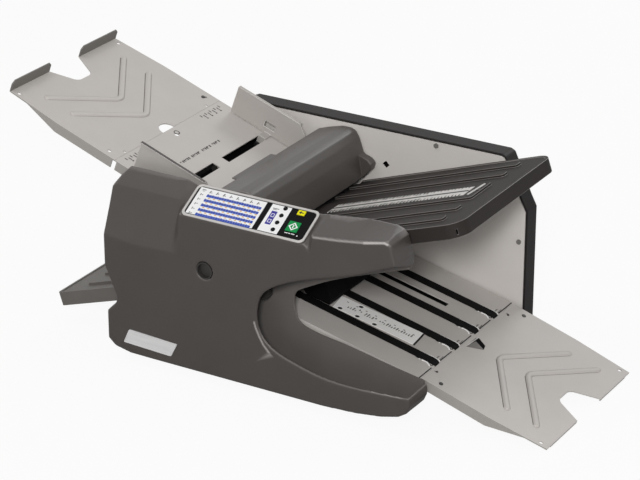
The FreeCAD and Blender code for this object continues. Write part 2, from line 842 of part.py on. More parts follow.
def rod_places():
    return {
        "left": (s.rod_left_x, s.rod_left_z),
        "mid": (s.rod_mid_x, s.rod_mid_z),
        "right": (s.rod_right_x, s.rod_right_z),
    }


def drilled(plate, y_low, y_high, spots):
    for x, z, radius in spots:
        plate = plate.cut(hole_bar(x, z, radius, y_low, y_high))
    return plate


def shared_holes():
    spots = [(x, z, float(s.bearing_radius)) for x, z in journal_places()]
    spots.append((float(s.hood_pivot_x), float(s.hood_pivot_z), float(s.hood_pin_radius)))
    return spots


def make_side_plates():
    thick, over = float(s.plate_thick), float(s.overrun)
    inset = float(s.wall + s.seat_gap)
    depth = float(near_depth)
    near = near_form(inset, depth - thick, depth)
    near = drilled(near, depth - thick - over, depth + over, shared_holes())
    shift = float(world_x(0.0)), float(near_face), float(world_z(0.0))
    keep(feature("near_side_plate", near, *shift), "near_side_plate")
    far = far_form(inset, 0.0, thick)
    spots = shared_holes()
    spots.append((float(s.motor_x), float(s.motor_z), float(s.motor_boss_radius)))
    drive = exit_axles["drive"]
    spots.append((float(drive[0]), float(drive[1]), float(s.bearing_radius)))
    far = drilled(far, -over, thick + over, spots)
    mid_x, mid_z, reach = float(s.diamond_x), float(s.diamond_z), float(s.diamond_reach)
    diamond = [
        (mid_x - reach, mid_z), (mid_x, mid_z - reach), (mid_x + reach, mid_z), (mid_x, mid_z + reach),
    ]
    far = far.cut(prism(diamond, -over, thick + over))
    shift = float(world_x(0.0)), float(far_in), float(world_z(0.0))
    keep(feature("far_side_plate", far, *shift), "far_side_plate")


def make_base():
    """Base pan, tie rods and feet between the side plates."""
    wide = plate_gap - 2 * s.seat_gap
    long = s.pan_right - s.pan_left
    low = world_z(s.pan_low)
    pan = box("pan_block", world_x(s.pan_left), near_in + s.seat_gap, low, long, wide, s.pan_flange)
    hollow = box(
        "pan_hollow", world_x(s.pan_left) + s.sheet_thick, near_in + s.seat_gap - s.overrun,
        low + s.sheet_thick, long - 2 * s.sheet_thick, wide + 2 * s.overrun, s.pan_flange,
    )
    keep(cut("base_pan", pan, [hollow]), "base_pan")
    rods = [
        rod(f"rod_{name}", world_x(x), near_in, world_z(z), plate_gap, s.rod_radius)
        for name, (x, z) in rod_places().items()
    ]
    keep(fuse("tie_rods", rods), "tie_rods")
    feet = []
    for side, x in (("left", s.foot_left_x), ("right", s.foot_right_x)):
        for name, y in (("near", near_in + s.foot_inset), ("far", far_in - s.foot_inset)):
            feet.append(post(f"foot_{side}_{name}", world_x(x), y, 0, low, s.foot_radius))
    keep(fuse("rubber_feet", feet), "rubber_feet")


# Feed table, extension and side guides are drawn lying flat, then tilted to the feed slope
def tilt_feed(thing):
    return place(thing, world_x(feed_top_x), path_y, world_z(feed_top_z), ALONG_Y, s.feed_slope)


def box_loop(u_low, u_high, v_low, v_high):
    return [(u_low, v_low), (u_high, v_low), (u_high, v_high), (u_low, v_high)]


def make_feed_table():
    half = tray_width / 2
    slot_low = slot_place - s.slot_wide / 2
    slot_high = slot_place + s.slot_wide / 2
    pad_low = pad_place - s.pad_long / 2
    pad_high = pad_place + s.pad_long / 2
    loops = [
        box_loop(0, s.table_length, -half, half),
        box_loop(slot_low, slot_high, s.slot_near, slot_far),
        box_loop(slot_low, slot_high, -slot_far, -s.slot_near),
        box_loop(pad_low, pad_high, -s.pad_wide / 2, s.pad_wide / 2),
    ]
    holes = [(s.skirt_depth, 0, s.table_hole)]
    sheet = slab("table_sheet", "XY", loops, s.sheet_thick, holes, centred=False)
    place(sheet, 0, 0, -s.sheet_thick)
    pieces = [sheet]
    start = s.junction_gap / 2
    for name, y in (("near", -half), ("far", half - s.sheet_thick)):
        pieces.append(box(
            f"table_skirt_{name}", start, y, -s.skirt_depth,
            s.table_length - start, s.sheet_thick, s.skirt_depth,
        ))
    spots = (s.table_length / 2, s.table_length - s.lug_long)
    pieces += side_lugs("table", half, -s.skirt_depth, spots)
    stud_long = s.leg_drop + s.rack_high + s.sheet_thick
    pieces.append(post("table_stud", slot_place, 0, -stud_long, stud_long - s.sheet_thick / 2, s.stud_radius))
    keep(tilt_feed(fuse("feed_table", pieces)), "feed_table")


def side_lugs(name, half, low, spots):
    """Blocks that reach from a piece's two sides almost to the side plates."""
    made = []
    reach = plate_gap / 2 - s.seat_gap - half + s.sheet_thick / 2
    for count, spot in enumerate(spots):
        start = spot - s.lug_long / 2
        for side, y in (("near", -half - reach + s.sheet_thick / 2), ("far", half - s.sheet_thick / 2)):
            made.append(box(f"{name}_lug_{side}_{count}", start, y, low, s.lug_long, reach, s.lug_high))
    return made


def chevron(tip, toward, reach, spread, width):
    """A V whose point lies at tip and whose arms run back by reach and out by spread."""
    back = toward * reach
    arm = toward * width
    return [(tip, 0), (tip + back, spread), (tip + back - arm, spread), (tip - arm, 0),
            (tip + back - arm, -spread), (tip + back, -spread)]


def tray_sheet(name, toward, length, holes_from, lead):
    """The flat of a paper tray that runs from the machine to its notched end."""
    half = tray_width / 2
    end = toward * length
    bend = toward * (length - s.extension_taper)
    slim = half - s.taper_inset
    floor = toward * (length - s.notch_deep)
    start = toward * -lead
    corners = [
        (start, -half), (bend, -half), (end, -slim), (end, -s.notch_mouth / 2),
        (floor, -s.notch_floor / 2, s.notch_round), (floor, s.notch_floor / 2, s.notch_round),
        (end, s.notch_mouth / 2), (end, slim), (bend, half), (start, half),
    ]
    far_hole = toward * (length - s.tray_hole_edge)
    near_hole = toward * holes_from
    hook = toward * s.hook_hole_from
    circles = []
    for side in (-1, 1):
        circles.append((far_hole, side * (half - s.tray_hole_edge), s.tray_hole_radius))
        circles.append((near_hole, side * (half - s.tray_hole_edge), s.tray_hole_radius))
        circles.append((hook, side * (half - s.hook_hole_edge), s.hook_hole_radius))
    if toward < 0:
        corners = corners[::-1]
    sheet = slab(f"{name}_sheet", "XY", [corners], s.sheet_thick, circles, centred=False)
    place(sheet, 0, 0, -s.sheet_thick)
    ribs = []
    for count, first in enumerate((s.rib_first, s.rib_second)):
        rib = chevron(toward * first, toward, s.rib_reach, s.rib_spread, s.rib_width)
        if toward > 0:
            rib = rib[::-1]
        made = slab(f"{name}_rib_{count}", "XY", [rib], s.rib_high + s.sheet_thick / 2, centred=False)
        ribs.append(place(made, 0, 0, -s.sheet_thick / 2))
    return [sheet, *ribs, *tray_skirts(name, toward, length)]


def tray_skirts(name, toward, length):
    """The folded sides of a tray: straight to the bend in plan, then fading along the taper."""
    half = tray_width / 2
    start, bend = toward * s.junction_gap / 2, toward * (length - s.extension_taper)
    lean = arctangent(s.taper_inset / s.extension_taper)
    straight = [(start, 0), (start, -s.skirt_depth), (bend, -s.skirt_depth), (bend, 0)]
    fading = [
        (0, 0), (0, -s.skirt_depth), (toward * s.skirt_fade, -s.sheet_thick), (toward * s.skirt_fade, 0),
    ]
    if toward < 0:
        straight, fading = straight[::-1], fading[::-1]
    made = []
    for side, sign in (("near", -1), ("far", 1)):
        y = sign * (half - s.sheet_thick / 2)
        flat = slab(f"{name}_skirt_{side}", "XZ", [straight], s.sheet_thick)
        made.append(place(flat, 0, y, 0))
        fade = slab(f"{name}_fade_{side}", "XZ", [fading], s.sheet_thick)
        made.append(place(fade, bend, y, 0, UP * (-sign * toward), lean))
    return made


def make_feed_extension():
    pieces = tray_sheet("extension", -1, s.extension_length, s.extension_hole_from, 0)
    half = tray_width / 2 - s.taper_inset
    inner, top, cut_off = s.notch_mouth / 2, s.flange_high, s.flange_corner
    end = -s.extension_length
    for name, side in (("near", -1), ("far", 1)):
        profile = [
            (side * inner, -s.sheet_thick), (side * half, -s.sheet_thick), (side * half, top - cut_off),
            (side * (half - cut_off), top), (side * (inner + cut_off), top), (side * inner, top - cut_off),
        ]
        if side < 0:
            profile = profile[::-1]
        flange = slab(f"extension_flange_{name}", "YZ", [profile], s.sheet_thick, centred=False)
        pieces.append(place(flange, end, 0, 0))
    joined = fuse("extension_joined", pieces)
    finger = post("extension_finger", 0, 0, -s.skirt_depth, 2 * s.skirt_depth, s.finger_radius)
    sheet = cut("feed_extension", joined, [finger])
    lead = s.seat_gap
    place(
        sheet, world_x(feed_top_x) - lead * cosine(s.feed_slope), path_y,
        world_z(feed_top_z) + lead * sine(s.feed_slope), ALONG_Y, s.feed_slope,
    )
    keep(sheet, "feed_extension")


def make_guides():
    """Both side guides with the legs that reach through the table to their racks."""
    half = guide_spread / 2
    tab_low = slot_place - s.slot_wide / 2 + s.foot_clear
    tab_long = s.slot_wide - 2 * s.foot_clear
    leg_y = slot_far - s.foot_clear - s.sheet_thick
    for name, side in (("near", -1), ("far", 1)):
        low = s.guide_lift
        corners = [
            (guide_start, low), (guide_end, low), (guide_end, s.guide_high - s.guide_corner),
            (guide_end - s.guide_corner, s.guide_high), (guide_start, s.guide_high),
        ]
        window = box_loop(
            slot_place - s.window_long / 2, slot_place + s.window_long / 2, s.window_low,
            s.window_low + s.window_high,
        )
        plate = slab(f"guide_plate_{name}", "XZ", [corners, window], s.sheet_thick)
        place(plate, 0, side * (half + s.sheet_thick / 2), 0)
        flange_y = side * half if side > 0 else side * half - s.guide_flange
        flange = box(
            f"guide_flange_{name}", guide_start, flange_y, s.guide_high - s.sheet_thick,
            guide_end - s.guide_corner - guide_start, s.guide_flange, s.sheet_thick,
        )
        reach = half - leg_y + s.sheet_thick
        tab_y = side * leg_y if side > 0 else side * leg_y - reach
        tab = box(f"guide_tab_{name}", tab_low, tab_y, low, tab_long, reach, s.sheet_thick)
        leg_at = side * leg_y if side > 0 else side * leg_y - s.sheet_thick
        leg = box(
            f"guide_leg_{name}", tab_low, leg_at, -s.leg_drop, tab_long, s.sheet_thick,
            s.leg_drop + low + s.sheet_thick,
        )
        keep(tilt_feed(fuse(f"{name}_guide", [plate, flange, tab, leg])), f"{name}_guide")


def tooth_outline(teeth, module, slack):
    """Points of a spur gear with straight flanks, from its tooth count and module."""
    pitch = teeth * module / 2
    top, root = pitch + tooth_top_share * module, pitch - tooth_root_share * module
    step = 2 * math.pi / teeth
    half_pitch = (math.pi * module / 2 - slack) / 2 / pitch
    half_tip = half_pitch * tooth_tip_share
    half_base = half_pitch * tooth_base_share
    points = []
    for tooth in range(teeth):
        middle = tooth * step
        for turn, radius in ((-half_base, root), (-half_tip, top), (half_tip, top), (half_base, root)):
            points.append((radius * math.cos(middle + turn), radius * math.sin(middle + turn)))
    return points


def gear_solid(teeth, module, slack, phase, wide, bore):
    """A spur gear on the Y axis with a bore."""
    cos, sin = math.cos(phase), math.sin(phase)
    turned = [(u * cos - v * sin, u * sin + v * cos) for u, v in tooth_outline(teeth, module, slack)]
    return prism(turned, 0.0, wide).cut(Part.makeCylinder(bore, wide, FreeCAD.Vector(0, 0, 0), ALONG_Y))


def rack_points(count, module, slack, base):
    """A straight rack's teeth along u, pointing to +v, from its tooth count."""
    pitch = math.pi * module
    half = (pitch / 2 - slack) / 2
    top, root = tooth_top_share * module, -tooth_root_share * module
    tip, foot = half * tooth_tip_share, half * tooth_base_share
    points = [(0.0, -base), (0.0, root)]
    for tooth in range(count):
        middle = (2 * tooth + 1) * pitch / 2
        points += [(middle - foot, root), (middle - tip, top), (middle + tip, top), (middle + foot, root)]
    points += [(count * pitch, root), (count * pitch, -base)]
    return points[::-1]


def make_rack_drive():
    """The two racks under the table and the pinion between them."""
    module, slack = float(s.rack_module), float(s.tooth_slack)
    pitch = math.pi * module
    pinion_radius = float(s.pinion_teeth) * module / 2
    base = float(s.rack_wide)
    low = -float(s.leg_drop + s.rack_high)
    leg_y = float(slot_far - s.foot_clear)
    teeth = int((leg_y + float(s.rack_tail)) / pitch)
    angle = float(s.feed_slope)
    spot = FreeCAD.Placement(
        FreeCAD.Vector(float(world_x(feed_top_x)), float(path_y), float(world_z(feed_top_z))),
        FreeCAD.Rotation(ALONG_Y, angle),
    )
    centre = float(slot_place)
    shape = [FreeCAD.Vector(u, v, 0) for u, v in rack_points(teeth, module, slack, base)]
    high = float(s.rack_high)
    solid = Part.Face(Part.makePolygon(shape + shape[:1])).extrude(FreeCAD.Vector(0, 0, high))
    for name, side in (("near", -1), ("far", 1)):
        rack = solid.copy()
        rack.rotate(FreeCAD.Vector(0, 0, 0), UP, 90 * side)
        # A tooth of the rack stands level with the pinion's axle, where the pinion has a gap
        tail = (2 * int(float(s.rack_tail) / pitch) + 1) * pitch / 2
        rack.translate(FreeCAD.Vector(side * pinion_radius, -side * tail, low))
        block_wide = float(s.slot_wide - 2 * s.foot_clear)
        block_x = min(-block_wide / 2, side * (pinion_radius + base))
        block_end = max(block_wide / 2, side * (pinion_radius + base))
        block_long = float(s.rack_wide)
        block = Part.makeBox(
            block_end - block_x, block_long, high,
            FreeCAD.Vector(block_x, side * leg_y - (block_long if side > 0 else 0), low),
        )
        rack = rack.fuse(block).removeSplitter()
        rack.translate(FreeCAD.Vector(centre, 0, 0))
        keep(move(feature(f"{name}_rack", rack), spot), f"{name}_rack")
    outline = tooth_outline(int(s.pinion_teeth), module, slack)
    corners = [FreeCAD.Vector(u, v, 0) for u, v in outline]
    pinion = Part.Face(Part.makePolygon(corners + corners[:1])).extrude(FreeCAD.Vector(0, 0, high))
    pinion.rotate(FreeCAD.Vector(0, 0, 0), UP, 180.0 / int(s.pinion_teeth))
    bore = float(s.stud_radius + s.running_gap)
    pinion = pinion.cut(Part.makeCylinder(bore, high))
    pinion.translate(FreeCAD.Vector(centre, 0, low))
    keep(move(feature("guide_pinion", pinion), spot), "guide_pinion")


def make_separator():
    half = s.pad_wide / 2 - s.seat_gap
    start = pad_place - s.pad_long / 2 + s.seat_gap
    long = s.pad_long - 2 * s.seat_gap
    pad = box("separator_pad", 0, 0, 0, long, 2 * half, s.pad_thick)
    place(
        pad,
        world_x(feed_top_x) + start * cosine(s.feed_slope) - s.pad_thick * sine(s.feed_slope),
        path_y - half,
        world_z(feed_top_z) - start * sine(s.feed_slope) - s.pad_thick * cosine(s.feed_slope),
        ALONG_Y,
        s.feed_slope,
    )
    keep(pad, "separator_pad")
    holder_x = pad_place - s.holder_long / 2
    top = -s.sheet_thick
    block = box(
        "holder_block", holder_x, -s.holder_wide / 2, top - s.holder_deep, s.holder_long, s.holder_wide,
        s.holder_deep,
    )
    pocket = box(
        "holder_pocket", start - s.seat_gap, -s.pad_wide / 2, -s.pad_thick,
        s.pad_long, s.pad_wide, s.pad_thick,
    )
    keep(tilt_feed(cut("separator_holder", block, [pocket])), "separator_holder")


def make_hood():
    """The hood over the feed roller, with ears that turn on two pins."""
    long = float(s.hood_right_x - s.hood_left_x)
    high = float(s.hood_top_z - s.hood_low_z)
    x, z = float(s.hood_left_x), float(s.hood_low_z)
    wall, gap = float(s.hood_wall), float(s.hood_side_gap)
    outer = [(x + u * long, z + v * high) for u, v in HOOD_SHARES]
    inner = shifted_points(outer, -wall, closed=False)
    wide = float(plate_gap) - 2 * gap
    thick = float(s.hood_ear_thick)
    shell = prism(outer + inner[::-1], 0.0, wide)
    ear = [(x + u * long, z + v * high) for u, v in HOOD_EAR_SHARES]
    for y in (0.0, wide - thick):
        shell = shell.fuse(prism(ear, y, y + thick))
    lip = Part.makeBox(
        float(s.hood_lip + s.hood_wall), float(s.hood_lip_long), wall,
        FreeCAD.Vector(x - float(s.hood_lip), float(s.hood_lip_from), outer[0][1] - wall / 2),
    )
    shell = shell.fuse(lip).removeSplitter()
    bore = float(s.hood_pin_radius + s.running_gap)
    shell = shell.cut(hole_bar(float(s.hood_pivot_x), float(s.hood_pivot_z), bore, -wall, wide + wall))
    made = feature("hood", shell, float(world_x(0.0)), float(near_in) + gap, float(world_z(0.0)))
    keep(made, "hood")
    pins = []
    inside = s.hood_side_gap + s.hood_ear_thick / 2
    pin_x, pin_z = world_x(s.hood_pivot_x), world_z(s.hood_pivot_z)
    for name, y in (("near", near_in - s.plate_thick), ("far", far_in - inside)):
        pins.append(rod(f"hood_pin_{name}", pin_x, y, pin_z, s.plate_thick + inside, s.hood_pin_radius))
    keep(fuse("hood_pins", pins), "hood_pins")


def make_feed_roller():
    x, z = world_x(s.feed_roller_x), world_z(s.feed_roller_z)
    start = near_in - s.plate_thick - s.gear_gap - s.gear_wide - s.pulley_wide
    end = far_in + s.plate_thick
    shaft = rod("feed_axle", x, start, z, end - start, s.journal_radius)
    core_long = 2 * s.feed_tyre_pitch + s.feed_tyre_wide
    core = rod("feed_core", x, path_y - core_long / 2, z, core_long, s.feed_core_radius)
    pulley = rod("feed_pulley", x, start, z, s.pulley_wide, s.feed_pulley_radius)
    keep(fuse("feed_shaft", [shaft, core, pulley]), "feed_shaft")
    tyres = []
    for count, place_share in enumerate((-1, 0, 1)):
        y = path_y + place_share * s.feed_tyre_pitch - s.feed_tyre_wide / 2
        outer = rod(f"tyre_{count}", x, y, z, s.feed_tyre_wide, s.feed_tyre_radius)
        inner = rod(f"tyre_bore_{count}", x, y, z, s.feed_tyre_wide, s.feed_core_radius)
        tyres.append(cut(f"tyre_ring_{count}", outer, [inner]))
    keep(fuse("feed_tyres", tyres), "feed_tyres")


def make_fold_rollers():
    gear_start = near_in - s.plate_thick - s.gear_gap - s.gear_wide
    hub_start = gear_start - s.pulley_wide
    module = float(roller_pitch) / int(s.gear_teeth)
    tooth_turn = math.pi / int(s.gear_teeth)
    for count, (name, (x, z)) in enumerate(roller_places.items()):
        near_end = hub_start if name == "one" else gear_start
        far_end = {
            "two": far_in + s.drive_layer + s.pulley_wide, "four": far_in + s.exit_layer + s.pulley_wide,
        }.get(name, far_in + s.plate_thick)
        axle = rod(f"axle_{name}", world_x(x), near_end, world_z(z), far_end - near_end, s.journal_radius)
        start = path_y - roller_length / 2
        drum = rod(f"drum_{name}", world_x(x), start, world_z(z), roller_length, s.roller_radius)
        parts = [axle, drum]
        if name == "two":
            parts.append(rod(
                "main_wheel", world_x(x), far_in + s.drive_layer, world_z(z),
                s.pulley_wide, s.main_pulley_radius,
            ))
        if name == "four":
            parts.append(rod(
                "exit_pulley", world_x(x), far_in + s.exit_layer, world_z(z),
                s.pulley_wide, s.exit_pulley_radius,
            ))
        keep(fuse(f"fold_roller_{name}", parts), f"fold_roller_{name}")
        phase = tooth_turn if count % 2 else 0.0
        wide = float(s.gear_wide)
        gear = gear_solid(
            int(s.gear_teeth), module, float(s.tooth_slack), phase, wide, float(s.journal_radius),
        )
        if name == "one":
            hub = hole_bar(0.0, 0.0, float(s.hub_pulley_radius), -float(s.pulley_wide), 0.0)
            gear = gear.fuse(hub.cut(hole_bar(0.0, 0.0, float(s.journal_radius), -float(s.pulley_wide), 0.0)))
        made = feature(f"gear_{name}", gear, float(world_x(x)), float(gear_start), float(world_z(z)))
        keep(made, f"gear_{name}")


def make_bearings():
    """Flanged bushes that carry every shaft in the two side plates."""
    rings = []
    spots = [(f"roller_{name}", x, z) for name, (x, z) in roller_places.items()]
    spots.append(("feed", s.feed_roller_x, s.feed_roller_z))
    sides = [("near", near_in - s.plate_thick, -s.bearing_flange_thick), ("far", far_in, s.plate_thick)]
    for name, x, z in spots:
        for side, y, flange in sides:
            rings.append(bush(f"{name}_{side}", x, y, z, flange, s.journal_radius))
    drive = exit_axles["drive"]
    rings.append(bush("exit_far", drive[0], far_in, drive[1], s.plate_thick, s.exit_axle_radius))
    keep(fuse("shaft_bearings", rings), "shaft_bearings")


def bush(name, x, y, z, flange, shaft_radius):
    sleeve = rod(f"sleeve_{name}", world_x(x), y, world_z(z), s.plate_thick, s.bearing_radius)
    thick = s.bearing_flange_thick
    collar = rod(f"collar_{name}", world_x(x), y + flange, world_z(z), thick, s.bearing_flange)
    solid = fuse(f"bush_solid_{name}", [sleeve, collar])
    long = s.plate_thick + thick + 2 * s.overrun
    start = y - thick - s.overrun / 2
    bore = rod(f"bush_bore_{name}", world_x(x), start, world_z(z), long, shaft_radius + s.running_gap)
    return cut(f"bush_{name}", solid, [bore])


def belt_loop(name, first, second, radius_one, radius_two, y, wide, thick):
    """A flat belt round two pulleys, with a small gap to both."""
    gap = float(s.seat_gap)
    rings = []
    for extra in (gap, gap + thick):
        r_one, r_two = radius_one + extra, radius_two + extra
        rings.append(Part.Face(pulley_wire(first, second, r_one, r_two, y)))
    outer = rings[1].extrude(FreeCAD.Vector(0, wide, 0))
    return outer.cut(rings[0].extrude(FreeCAD.Vector(0, wide, 0)))


def pulley_wire(first, second, r_one, r_two, y):
    """The tight loop round two circles: two tangent lines and two arcs."""
    dx, dz = second[0] - first[0], second[1] - first[1]
    span = math.hypot(dx, dz)
    heading = math.atan2(dz, dx)
    lean = math.acos((r_one - r_two) / span)

    def spot(centre, radius, turn):
        return FreeCAD.Vector(centre[0] + radius * math.cos(turn), y, centre[1] + radius * math.sin(turn))

    up, down = heading + lean, heading - lean
    line_up = Part.LineSegment(spot(first, r_one, up), spot(second, r_two, up))
    line_down = Part.LineSegment(spot(second, r_two, down), spot(first, r_one, down))
    round_two = Part.Arc(spot(second, r_two, up), spot(second, r_two, heading), spot(second, r_two, down))
    round_one = Part.Arc(
        spot(first, r_one, down), spot(first, r_one, heading + math.pi), spot(first, r_one, up),
    )
    return Part.Wire([line_up.toShape(), round_two.toShape(), line_down.toShape(), round_one.toShape()])


def at(x, z):
    return float(world_x(x)), float(world_z(z))


def make_motor_drive():
    x, z = world_x(s.motor_x), world_z(s.motor_z)
    can = rod("motor_can", x, far_in - s.motor_length, z, s.motor_length, s.motor_radius)
    boss_radius = s.motor_boss_radius - s.seat_gap
    boss = rod("motor_boss", x, far_in - s.overrun, z, s.plate_thick + s.overrun, boss_radius)
    bore = rod("motor_bore", x, far_in - s.motor_length / 4, z, s.motor_length, s.stud_radius + s.running_gap)
    keep(cut("motor", fuse("motor_solid", [can, boss]), [bore]), "motor")
    wheel = rod("motor_wheel", x, far_in + s.drive_layer, z, s.pulley_wide, s.motor_pulley_radius)
    inside = s.motor_length / 4
    spindle = rod("motor_spindle", x, far_in - inside + s.seat_gap, z, inside + s.drive_layer, s.stud_radius)
    keep(fuse("motor_pulley", [wheel, spindle]), "motor_pulley")
    inset = float(s.pulley_wide - s.belt_wide) / 2
    wide, thick = float(s.belt_wide), float(s.belt_thick)
    belt = belt_loop(
        "drive", at(s.motor_x, s.motor_z), at(*roller_places["two"]), float(s.motor_pulley_radius),
        float(s.main_pulley_radius), float(far_in + s.drive_layer) + inset, wide, thick,
    )
    keep(feature("drive_belt", belt), "drive_belt")
    belt = belt_loop(
        "exit", at(*roller_places["four"]), at(*exit_axles["drive"]), float(s.exit_pulley_radius),
        float(s.exit_pulley_radius), float(far_in + s.exit_layer) + inset, wide, thick,
    )
    keep(feature("exit_drive_belt", belt), "exit_drive_belt")
    layer = float(near_in - s.plate_thick - s.gear_gap - s.gear_wide - s.pulley_wide)
    belt = belt_loop(
        "feed", at(s.feed_roller_x, s.feed_roller_z), at(*roller_places["one"]), float(s.feed_pulley_radius),
        float(s.hub_pulley_radius), layer + inset, wide, thick,
    )
    keep(feature("feed_belt", belt), "feed_belt")


# Fold plates are drawn flat with their rim's top at zero, then tilted
def fold_plate(name, length, upward, corner, lead):
    """A shallow tray whose closed channel takes the sheet; x runs from the rollers outwards."""
    half = fold_width / 2
    end = upward * length
    inner, back = half - s.fold_rim, s.fold_rim
    tight = corner - s.fold_rim if float(corner) > 2 * float(s.fold_rim) else corner / 2
    corners = [(0, -half), (end, -half, corner), (end, half, corner), (0, half)]
    open_end = upward * -(lead + s.overrun)
    floor = [
        (open_end, -inner), (end - upward * back, -inner, tight), (end - upward * back, inner, tight),
        (open_end, inner),
    ]
    if upward < 0:
        corners, floor = corners[::-1], floor[::-1]
    block = slab(f"{name}_block", "XY", [corners], s.fold_deep, centred=False)
    place(block, 0, 0, -s.fold_deep)
    if upward > 0:
        thick = s.fold_lead_thick
        step = box(f"{name}_lead", -lead, -half, -thick, lead + back, fold_width, thick)
        block = fuse(f"{name}_solid", [block, step])
    hollow = slab(f"{name}_recess", "XY", [floor], s.fold_recess + s.overrun, centred=False)
    place(hollow, 0, 0, -s.fold_recess)
    channel_top = s.fold_recess + s.fold_skin
    channel_low = min(0, upward) * (length - 2 * back) - (s.overrun if upward > 0 else 0)
    channel = box(
        f"{name}_channel", channel_low, -inner, -channel_top - s.fold_channel,
        length - 2 * back + s.overrun, 2 * inner, s.fold_channel,
    )
    under = s.fold_deep - channel_top - s.fold_channel / 2 + s.overrun
    setback = box(
        f"{name}_setback", -s.overrun if upward > 0 else -s.fold_set_back, -half - s.overrun,
        -s.fold_deep - s.overrun, s.fold_set_back + s.overrun, fold_width + 2 * s.overrun, under,
    )
    shell = cut(f"{name}_shell", block, [hollow, channel, setback])
    raised = [shell]
    low, high = -s.fold_recess - s.seat_gap, s.fold_recess + s.seat_gap + s.ridge_high
    for count, share in enumerate(RIDGE_SHARES):
        loop = raised_loop(upward, lead, length - s.ridge_end_gap, share * fold_width, s.ridge_wide / 2)
        ridge = slab(f"{name}_ridge_{count}", "XY", [loop], high, centred=False)
        raised.append(place(ridge, 0, 0, low))
    loop = raised_loop(upward, lead, length - s.band_end_gap, 0, s.band_wide / 2)
    band = slab(f"{name}_band", "XY", [loop], high, centred=False)
    raised.append(place(band, 0, 0, low))
    slot_long = length - s.fold_slot_start - s.fold_slot_end_gap
    slot_low = s.fold_slot_start if upward > 0 else -s.fold_slot_start - slot_long
    slots = [
        box(
            f"{name}_slot", slot_low, -s.fold_slot_wide / 2, -channel_top - s.overrun / 2, slot_long,
            s.fold_slot_wide, channel_top + s.ridge_high + s.overrun,
        ),
        box(
            f"{name}_low_slot", slot_low, -s.fold_slot_wide / 2, -s.fold_deep - s.overrun, slot_long,
            s.fold_slot_wide, under,
        ),
    ]
    slotted = cut(f"{name}_slotted", fuse(f"{name}_raised", raised), slots)
    spots = [upward * s.lug_first] if upward > 0 else [upward * s.lug_first, upward * s.lug_second]
    return fuse(name, [slotted, *side_lugs(name, half, -s.fold_deep + s.fold_rim / 2, spots)])


def raised_loop(upward, lead, end, middle, half):
    """Outline of a raised strip that starts at the rollers and ends in rounded corners."""
    start = -lead if upward > 0 else -2 * s.fold_rim
    loop = [
        (start, middle - half), (upward * end, middle - half, s.ridge_round),
        (upward * end, middle + half, s.ridge_round), (start, middle + half),
    ]
    return loop if upward > 0 else loop[::-1]


def tilt_upper(thing, along=0):
    """Lay a flat-drawn piece on the upper fold plate's slope, some way along it."""
    return place(
        thing, world_x(s.upper_start_x) + along * cosine(s.upper_slope), path_y,
        world_z(s.upper_start_z) + along * sine(s.upper_slope), -ALONG_Y, s.upper_slope,
    )


def tilt_lower(thing, along=0):
    return place(
        thing, world_x(s.lower_start_x) - along * cosine(s.lower_slope), path_y,
        world_z(s.lower_start_z) - along * sine(s.lower_slope), -ALONG_Y, s.lower_slope,
    )


def stop_bar(name):
    """A paper stop: a bar across the channel with a pointer in the top slot and a knob below."""
    half = fold_width / 2 - s.fold_rim - s.stop_side_gap
    channel_top = s.fold_recess + s.fold_skin
    bar_low = -channel_top - (s.fold_channel + s.stop_bar_high) / 2
    bar = box(f"{name}_bar", -s.stop_bar_long / 2, -half, bar_low, s.stop_bar_long, 2 * half, s.stop_bar_high)
    low = -s.fold_deep - s.seat_gap
    neck = box(
        f"{name}_neck", -s.stop_bar_long / 2, -s.stop_neck / 2, low, s.stop_bar_long, s.stop_neck,
        s.ridge_high - low,
    )
    knob = post(f"{name}_knob", 0, 0, low - s.stop_knob_high, s.stop_knob_high, s.stop_knob_radius)
    return fuse(name, [bar, neck, knob])


def make_fold_plates():
    upper = fold_plate("upper_fold_plate", s.upper_length, 1, s.fold_round, s.fold_lead)
    keep(tilt_upper(upper), "upper_fold_plate")
    lower = fold_plate("lower_fold_plate", s.lower_length, -1, s.lower_round, 0)
    keep(tilt_lower(lower), "lower_fold_plate")
    keep(tilt_upper(stop_bar("upper_stop"), s.stop_place), "upper_stop")
    keep(tilt_lower(stop_bar("lower_stop"), s.stop_place), "lower_stop")
    strips = []
    long = s.upper_length - s.scale_start - s.scale_end_gap
    edge = s.fold_slot_wide / 2
    for name, y in (("near", -edge - s.scale_wide), ("far", edge)):
        strips.append(box(f"scale_{name}", s.scale_start, y, s.ridge_high, long, s.scale_wide, s.scale_thick))
    keep(fuse("scale_strips", [tilt_upper(fuse("ruler_pair", strips)), deck_scale()]), "scale_strips")


